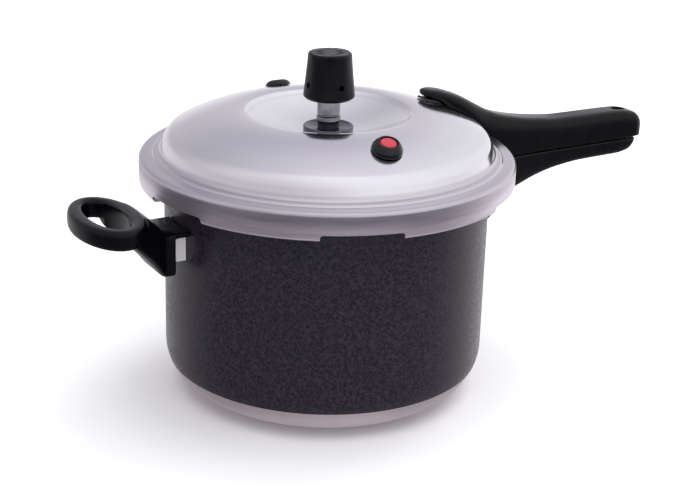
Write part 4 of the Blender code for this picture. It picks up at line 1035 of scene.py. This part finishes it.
opening = rod("finger_opening", LOOP_HOLE[1] + 0.2 * MM, 0, 80 * MM, opening_place, 128,
              LOOP_HOLE[0] / LOOP_HOLE[1])
carve(side, [pot_side("wall"), opening] + screw_space(math.pi))
soften(side)
show(side, phenolic, "pot", "phenolic", "side_handle", sharp=70)

# %% [markdown]
# ## Brackets and screws
#
# Each handle is pulled against a cast block by one cross-head screw at the bottom of a deep
# counterbore. The cross in its head is two slots, cut at right angles. The block is a bevelled
# box, bored for the screw and the two rivets, and hollowed at the back to fit the round wall.

# %% Brackets and handle screws
BRACKET_HALF_Y, BRACKET_HALF_Z = 10 * MM, 8.5 * MM


def make_bracket(side_name, angle):
    low = (POT_R - 4 * MM, -BRACKET_HALF_Y, BRACKET_Z - BRACKET_HALF_Z)
    high = (POT_R + BRACKET_DEPTH, BRACKET_HALF_Y, BRACKET_Z + BRACKET_HALF_Z)
    bracket = box_object(f"{side_name}_bracket_block", low, high, 1.1 * MM, 4, Matrix.Rotation(angle, 4, "Z"))
    bores = [rod("screw_bore", SCREW_HOLE_R, 0, 20 * MM, wall_frame(angle, 0, POT_R - 6 * MM, BRACKET_Z))]
    bores += [rod("rivet_bore", RIVET_HOLE_R, 0, 10.6 * MM, wall_frame(angle, y, POT_R - 4 * MM, BRACKET_Z))
              for y in (-RIVET_SPREAD, RIVET_SPREAD)]
    carve(bracket, [pot_side("wall")] + bores)
    return show(bracket, cast_aluminium, "pot", "bare_aluminium", f"{side_name}_bracket", sharp=35)


def make_handle_screw(name, angle):
    """A cross-head screw. Its seat is at height 0 and the head is on the far side of it."""
    seat = wall_frame(angle, 0, SCREW_X + SEAT, BRACKET_Z)
    line = rounded_line([(0, -13 * MM, 0), (1.6 * MM, -13 * MM, 0), (2 * MM, -12.2 * MM, 0), (2 * MM, 0, 0),
                         (SCREW_HEAD_R, 0, 0.3 * MM), (SCREW_HEAD_R, 1.0 * MM, 0.6 * MM),
                         (2.6 * MM, 2.2 * MM, 1.2 * MM), (0, 2.2 * MM, 0)], 4)
    screw = turned(name, line, 48, matrix=seat)
    slots = [box_object("slot", (-2.2 * MM, -0.45 * MM, 0.9 * MM), (2.2 * MM, 0.45 * MM, 3 * MM),
                        matrix=seat @ Matrix.Rotation(turn, 4, "Z")) for turn in (45 * DEG, 135 * DEG)]
    carve(screw, slots)
    return screw


for side_name, angle in (("lower_handle", 0), ("side_handle", math.pi)):
    make_bracket(side_name, angle)
    screw = make_handle_screw(f"{side_name}_cross_screw", angle)
    show(screw, screw_steel, "pot", "screw_steel", f"{side_name}_screw", sharp=30)

# %% [markdown]
# ## Control weight and vent stem
#
# The weight is a hollow phenolic cap over a brass slug. The moulding isn't perfectly round:
# its sides are a few soft flats and its top is lumpy, which breaks the highlights up in a way
# that a plain turned shape never shows.

# %% Control weight
FOOT_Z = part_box("weight_cap")[0].z
WEIGHT_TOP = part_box("weight_cap")[1].z
FOOT_R = 16.3 * MM
TOP_R = 13.8 * MM
FRONT = -120 * DEG           # the widest flat faces this way
FLATS = ((FRONT, 0.55), (FRONT + 62 * DEG, 0.35), (FRONT + 118 * DEG, 0.3), (FRONT + 180 * DEG, 0.4),
         (FRONT - 118 * DEG, 0.3), (FRONT - 60 * DEG, 0.4))
FLAT_SPREAD = 17 * DEG


def remap_number(value, low, high):
    """The smooth step of remap, for a plain number."""
    share = min(max((value - low) / (high - low), 0), 1)
    return share * share * (3 - 2 * share)


def angle_between(a, b):
    """The gap between two headings, the short way round."""
    return abs((a - b + math.pi) % (2 * math.pi) - math.pi)


def flatten(radius, height, angle):
    """Press soft flats into the sides, deepest at mid height, and lumps into the top."""
    share = (height - FOOT_Z) / (WEIGHT_TOP - FOOT_Z)
    outside = remap_number(radius, 11.2 * MM, 12.6 * MM)
    depth = remap_number(share, 0.05, 0.3) * remap_number(share, 1.02, 0.86)
    pressed = sum(deep * math.exp(-(angle_between(angle, middle) / FLAT_SPREAD) ** 2)
                  for middle, deep in FLATS)
    radius -= outside * depth * pressed * MM
    crown = remap_number(share, 0.93, 0.99)
    ring = remap_number(radius, 4.4 * MM, 6.4 * MM) * remap_number(radius, 9.6 * MM, 7.8 * MM)
    lumps = 0.24 * math.cos(9 * angle + 1.0) * ring
    lumps += 0.12 * math.cos(3 * angle + 2.2) * remap_number(radius, 2 * MM, 6 * MM)
    height -= crown * (0.40 + lumps) * MM
    return radius, height


chamber_r, roof = 10.5 * MM, FOOT_Z + 23 * MM
top_line = [(TOP_R * 0.72 * i / 14, WEIGHT_TOP) for i in range(15)]
outer = rounded_line([(TOP_R * 0.73, WEIGHT_TOP, 0), (TOP_R - 0.1 * MM, WEIGHT_TOP, 3.4 * MM),
                      (TOP_R + 0.45 * MM, WEIGHT_TOP - 7 * MM, 0)], 9)
wall = [(TOP_R + 0.45 * MM + (FOOT_R - TOP_R - 0.55 * MM) * i / 16,
         WEIGHT_TOP - 7 * MM + (FOOT_Z + 3.2 * MM - WEIGHT_TOP + 7 * MM) * i / 16) for i in range(1, 17)]
foot = rounded_line([(FOOT_R - 0.08 * MM, FOOT_Z + 2.8 * MM, 0), (FOOT_R, FOOT_Z + 1.6 * MM, 0.8 * MM),
                     (FOOT_R - 1.7 * MM, FOOT_Z, 1.3 * MM), (chamber_r, FOOT_Z, 0.4 * MM),
                     (chamber_r, roof, 0)], 5)
weight = turned("weight_moulding", top_line + outer[1:] + wall + foot + [(0, roof)], 160, reshape=flatten)
across = Matrix.Translation((-20 * MM, 0, FOOT_Z + 9.5 * MM)) @ Matrix.Rotation(90 * DEG, 4, "Y")
carve(weight, [rod("steam_hole", 2 * MM, 0, 40 * MM, Matrix.Rotation(turn, 4, "Z") @ across, 32)
               for turn in (0, 90 * DEG)])
show(weight, weight_phenolic, "weight", "weight_phenolic", "weight_cap", sharp=50)

# %% [markdown]
# The stem is one turned pipe: a neck inside the weight, two collars with a groove between
# them and a thread under the lid. It stands in a dished washer on the floor of the recess.
# Both are plain profiles, and the small fillets at their corners hold the highlights.

# %% Vent stem and dish
FLOOR_Z = CREST_Z - DISH_DEPTH + SEAT
STEM_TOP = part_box("vent_stem")[1].z
STEM_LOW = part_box("vent_stem")[0].z
HEX_LOW = FLOOR_Z + 2.2 * MM + SEAT
COLLAR_LOW = FLOOR_Z + 4 * MM + 3.2 * MM
GROOVE = COLLAR_LOW + 3.6 * MM

stem = turned("turned_stem", rounded_line([
    (3.0 * MM, STEM_TOP, 0), (4.5 * MM, STEM_TOP, 0.4 * MM), (4.5 * MM, FOOT_Z + 2.6 * MM, 0.2 * MM),
    (6.65 * MM, FOOT_Z + 1.6 * MM, 0.3 * MM), (7.25 * MM, FOOT_Z + 0.9 * MM, 0.4 * MM),
    (7.25 * MM, GROOVE + 1.0 * MM, 0.3 * MM), (6.5 * MM, GROOVE + 0.6 * MM, 0.15 * MM),
    (6.5 * MM, GROOVE, 0.15 * MM), (7.7 * MM, GROOVE - 0.4 * MM, 0.3 * MM),
    (7.7 * MM, COLLAR_LOW + 0.5 * MM, 0.3 * MM), (6.9 * MM, COLLAR_LOW, 0.2 * MM),
    (6.9 * MM, HEX_LOW, 0.2 * MM), (5 * MM, HEX_LOW, 0), (5 * MM, STEM_LOW, 0),
    (1.6 * MM, STEM_LOW, 0), (1.6 * MM, STEM_TOP - 1.4 * MM, 0)], 4), 128, closed=True)
show(stem, vent_chrome, "lid", "vent_chrome", "vent_stem", sharp=30)

# the dish's darker chrome is painted shade from the weight above it
dish = turned("stem_dish", rounded_line([
    (VENT_HOLE_R, FLOOR_Z + 2.2 * MM, 0), (8 * MM, FLOOR_Z + 2.4 * MM, 0.5 * MM),
    (13.4 * MM, FLOOR_Z + 3.3 * MM, 0.6 * MM), (14.2 * MM, FLOOR_Z + 4 * MM, 0.4 * MM),
    (15.5 * MM, FLOOR_Z + 4 * MM, 0.4 * MM), (16 * MM, FLOOR_Z + 3.5 * MM, 0.3 * MM),
    (16 * MM, FLOOR_Z, 0.3 * MM), (VENT_HOLE_R, FLOOR_Z, 0)], 4), 128, closed=True)
show(dish, vent_dish_shaded_chrome, "lid", "vent_chrome", "vent_base_dish", sharp=35)

# %% [markdown]
# ## Indicator and safety plug
#
# Both are rubber bushings pushed through the dome, square to its surface. The indicator holds
# a red pin that rises when the cooker is under pressure, and the plug bursts first if the vent
# is ever blocked. The CAD places are worked out again here from the dome, as a frame that
# stands square to it, so that each piece can be turned about its own axis.

# %% Indicator and its bushing
def dome_sag(reach):
    """How far the dome falls below a valve's tangent plane at this distance from its axis."""
    tilt = dome_tilt(VALVE_RING_R)
    outward = reach * math.cos(tilt)
    plane_z = dome_z(VALVE_RING_R) - outward * math.tan(tilt)
    return (plane_z - dome_z(VALVE_RING_R + outward)) * math.cos(tilt)


GRIP_TOP = -LID_T - SEAT - dome_sag(9.2 * MM)      # the rubber flange starts here, under the lid
GRIP_LOW = GRIP_TOP - 2.4 * MM


def grommet_line(bore):
    """The neck that passes through the lid and the flange that grips it from below."""
    return [(7.2 * MM, SEAT, 0), (7.2 * MM, GRIP_TOP, 0), (9.2 * MM, GRIP_TOP, 0.3 * MM),
            (8.2 * MM, GRIP_LOW, 0.3 * MM), (bore, GRIP_LOW, 0)]


HOUSING_H = 6.3 * MM
HEAD_LOW = HOUSING_H - 3.4 * MM
PIN_R = 5.4 * MM
PIN_BORE = PIN_R + 0.25 * MM
STEM_BORE = 3.15 * MM
housing_line = [(PIN_BORE, HOUSING_H - 0.4 * MM, 0), (PIN_BORE + 0.35 * MM, HOUSING_H, 0.3 * MM),
                (PIN_BORE + 0.9 * MM, HOUSING_H, 0.4 * MM), (7.9 * MM, HOUSING_H * 0.78, 1.2 * MM),
                (9.2 * MM, HOUSING_H * 0.44, 1.2 * MM), (9.6 * MM, HOUSING_H * 0.16, 0.6 * MM),
                (9.6 * MM, SEAT, 0.3 * MM)]
housing_line += grommet_line(STEM_BORE) + [(STEM_BORE, HEAD_LOW - SEAT, 0), (PIN_BORE, HEAD_LOW - SEAT, 0)]
housing = turned("indicator_bushing", rounded_line(housing_line, 5), 96, closed=True, matrix=INDICATOR_PLACE)
show(housing, valve_rubber, "lid", "valve_rubber", "indicator_housing", sharp=40)

clip_top = GRIP_LOW - 3.5 * MM - SEAT
groove_low = clip_top - 1.3 * MM - 2 * SEAT
pin_top = HOUSING_H - 0.2 * MM
pin = turned("indicator_red_pin", rounded_line([
    (0, pin_top, 0), (PIN_R - 1.0 * MM, pin_top, 0.4 * MM), (PIN_R, pin_top - 0.8 * MM, 0.4 * MM),
    (PIN_R, HEAD_LOW, 0.2 * MM), (2.9 * MM, HEAD_LOW, 0), (2.9 * MM, clip_top + SEAT, 0),
    (2.2 * MM, clip_top + SEAT, 0), (2.2 * MM, groove_low, 0), (2.9 * MM, groove_low, 0),
    (2.9 * MM, groove_low - 1.2 * MM, 0.3 * MM), (0, groove_low - 1.2 * MM, 0)], 4),
    64, matrix=INDICATOR_PLACE)
show(pin, red_plastic, "indicator", "red_plastic", "indicator_pin", sharp=35)

# %% [markdown]
# The plug is the same bushing without a bore. Its crown is left thin over a hollow, so that it
# is the weakest spot of the lid. The same neck profile serves both, so a function holds it.

# %% Safety plug
PLUG_H = 4 * MM
plug = turned("safety_plug_rubber", rounded_line(
    [(0, PLUG_H, 0), (5.4 * MM, PLUG_H, 0.8 * MM), (7.5 * MM, PLUG_H * 0.72, 1.4 * MM),
     (8.8 * MM, PLUG_H * 0.22, 0.7 * MM), (8.8 * MM, SEAT, 0.2 * MM)]
    + grommet_line(4 * MM) + [(4 * MM, 1.4 * MM, 0), (0, 1.4 * MM, 0)], 5),
    96, matrix=PLUG_PLACE)
show(plug, valve_rubber, "lid", "valve_rubber", "safety_plug", sharp=40)

# %% [markdown]
# ## Small working parts
#
# The rivets, gasket, strap, nuts and clips are already right as the CAD made them, and little
# of them ever shows. They keep their own meshes and take a finish each.

# %% Finishes on the CAD parts
WORKING_PARTS = {
    rivet_aluminium: ["lower_bracket_rivet_left", "lower_bracket_rivet_right",
                      "side_bracket_rivet_left", "side_bracket_rivet_right"],
    gasket_rubber: ["lid_gasket"],
    strap_steel: ["upper_handle_bracket"],
    screw_steel: ["upper_handle_screw_front", "upper_handle_screw_rear", "vent_nut", "indicator_clip",
                  "weight_retainer"],
    vent_chrome: ["vent_needle"],
    valve_rubber: ["vent_seal_washer"],
    slug_brass: ["weight_core"],
}
for finish, names in WORKING_PARTS.items():
    for name in names:
        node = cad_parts[name]
        node.data.materials.clear()
        node.data.materials.append(finish)
    print(finish.name, "on", ", ".join(names))

# %% [markdown]
# ## Floor, lights and surroundings
#
# Polished metal shows its surroundings more than itself, so most of the lid's look is made
# here. The dome's front mirrors the space behind the camera, its shoulder mirrors whatever is
# overhead, and its skirt mirrors what lies below. The floor is plain pale paper. It is hidden
# from reflections, because the world's lower half gives the skirt a calmer tone.

# %% Floor
bm = bmesh.new()
bmesh.ops.create_grid(bm, x_segments=1, y_segments=1, size=4.0)
floor = as_object("floor", bm)
floor.location.z = cad_bounds[0][2] - 0.2 * MM
floor_finish, tree, shader = new_material("floor_paper", Roughness=0.8)
shader.inputs["Base Color"].default_value = (0.86, 0.86, 0.865, 1)
shader.inputs["Specular IOR Level"].default_value = 0.1
floor.data.materials.append(floor_finish)
floor.visible_glossy = False      # the metal mirrors the world's lower half in its place
print("floor at", round(floor.location.z / MM, 2), "mm")

# %% [markdown]
# A studio surrounds bright metal with large panels. Two gradients by height stand for them
# here, one for the space in front of the cooker and one for the space behind, mixed by the
# direction round it. A captured studio would do too, but each stop here can be set alone.

# %% World gradient
FRONT_WAY = (math.sin(AZIMUTH), -math.cos(AZIMUTH), 0.0)      # level, from the cooker to the camera
RIGHT_WAY = (math.cos(AZIMUTH), math.sin(AZIMUTH), 0.0)
# Degrees above the horizon, and the colour seen there
FRONT_SKY = ((-90, (0.60, 0.57, 0.60)), (-42, (0.28, 0.26, 0.29)), (-19, (0.21, 0.195, 0.225)),
             (-8, (0.24, 0.23, 0.26)), (3, (0.76, 0.74, 0.79)), (35, (0.90, 0.88, 0.93)),
             (66, (1.02, 1.005, 1.04)), (90, (1.06, 1.05, 1.08)))
BACK_SKY = ((-90, (0.60, 0.57, 0.60)), (-42, (0.45, 0.43, 0.46)), (-20, (0.95, 0.93, 0.96)),
            (-3, (0.95, 0.93, 0.97)), (14, (0.68, 0.66, 0.72)), (40, (0.59, 0.57, 0.66)),
            (63, (0.66, 0.635, 0.74)), (90, (1.06, 1.05, 1.08)))
WINDOW = (0.93, 0.93, 0.935)                                  # neutral light from the right
FRONT_BLEND = (-0.8, 0.35)              # cosines between which the back turns into the front
WINDOW_BLEND = (0.0, 0.6, 0.0, 0.75)    # cosines, then how much of the window is mixed in
SIDE_STRENGTH = (-0.6, 0.5, 0.83, 1.12)  # cosines, then the strength at the left and the right


def sky_ramp(tree, elevation, stops):
    ramp = add(tree, "ShaderNodeValToRGB")
    ramp.color_ramp.interpolation = "EASE"
    for index, (degrees, colour) in enumerate(stops):
        spot = (degrees + 90) / 180
        element = ramp.color_ramp.elements[index] if index < 2 else ramp.color_ramp.elements.new(spot)
        element.position = spot
        element.color = (*colour, 1)
    feed(tree, ramp.inputs[0], elevation)
    return ramp.outputs[0]


def share_along(tree, direction, way, low, high, to_low=0.0, to_high=1.0):
    """How far a direction points along a level way."""
    toward = vector_maths(tree, "DOT_PRODUCT", direction, way, output="Value")
    return remap(tree, toward, low, high, to_low, to_high)


def make_world():
    world = bpy.data.worlds.new("studio")
    bpy.context.scene.world = world
    world.use_nodes = True
    tree = world.node_tree
    direction = add(tree, "ShaderNodeTexCoord").outputs["Generated"]
    upness = split(tree, direction)[2]
    angle = calc(tree, "ARCSINE", upness)
    elevation = calc(tree, "ADD", calc(tree, "DIVIDE", angle, math.pi), 0.5)
    front_share = share_along(tree, direction, FRONT_WAY, *FRONT_BLEND)
    colour = mix_colour(tree, front_share, sky_ramp(tree, elevation, BACK_SKY),
                        sky_ramp(tree, elevation, FRONT_SKY))
    lit = calc(tree, "MULTIPLY", share_along(tree, direction, RIGHT_WAY, *WINDOW_BLEND),
               remap(tree, upness, 0.0, 0.2))
    background = tree.nodes["Background"]
    feed(tree, background.inputs["Color"], mix_colour(tree, lit, colour, WINDOW))
    strength = share_along(tree, direction, RIGHT_WAY, *SIDE_STRENGTH)
    feed(tree, background.inputs["Strength"], strength)
    return world


print("world", make_world().name)

# %% [markdown]
# Two area lamps shape the black mouldings and the paint: a wide panel overhead and a small
# one at the right. Area lamps are used because their shadows have soft edges, and both are
# hidden from reflections, so that no bright rectangle shows in the lid.

# %% Lights
def soft_light(name, spot, target, size, power):
    data = bpy.data.lights.new(name, "AREA")
    data.shape = "RECTANGLE"
    data.size, data.size_y = size
    data.energy = power
    lamp = bpy.data.objects.new(name, data)
    bpy.context.scene.collection.objects.link(lamp)
    lamp.location = spot
    lamp.visible_glossy = False       # the world alone is mirrored, so no lamp shows as a patch
    lamp.rotation_euler = (Vector(target) - Vector(spot)).to_track_quat("-Z", "Y").to_euler()
    print(name, power, "W")
    return lamp


soft_light("overhead_panel", (0.1, 0.0, 1.8), (0, 0, 0), (2.4, 2.4), 34)
soft_light("right_key", (1.3, 0.5, 0.9), (0, 0, 0.12), (0.8, 1.0), 7)
bpy.context.scene.view_settings.view_transform = "Standard"
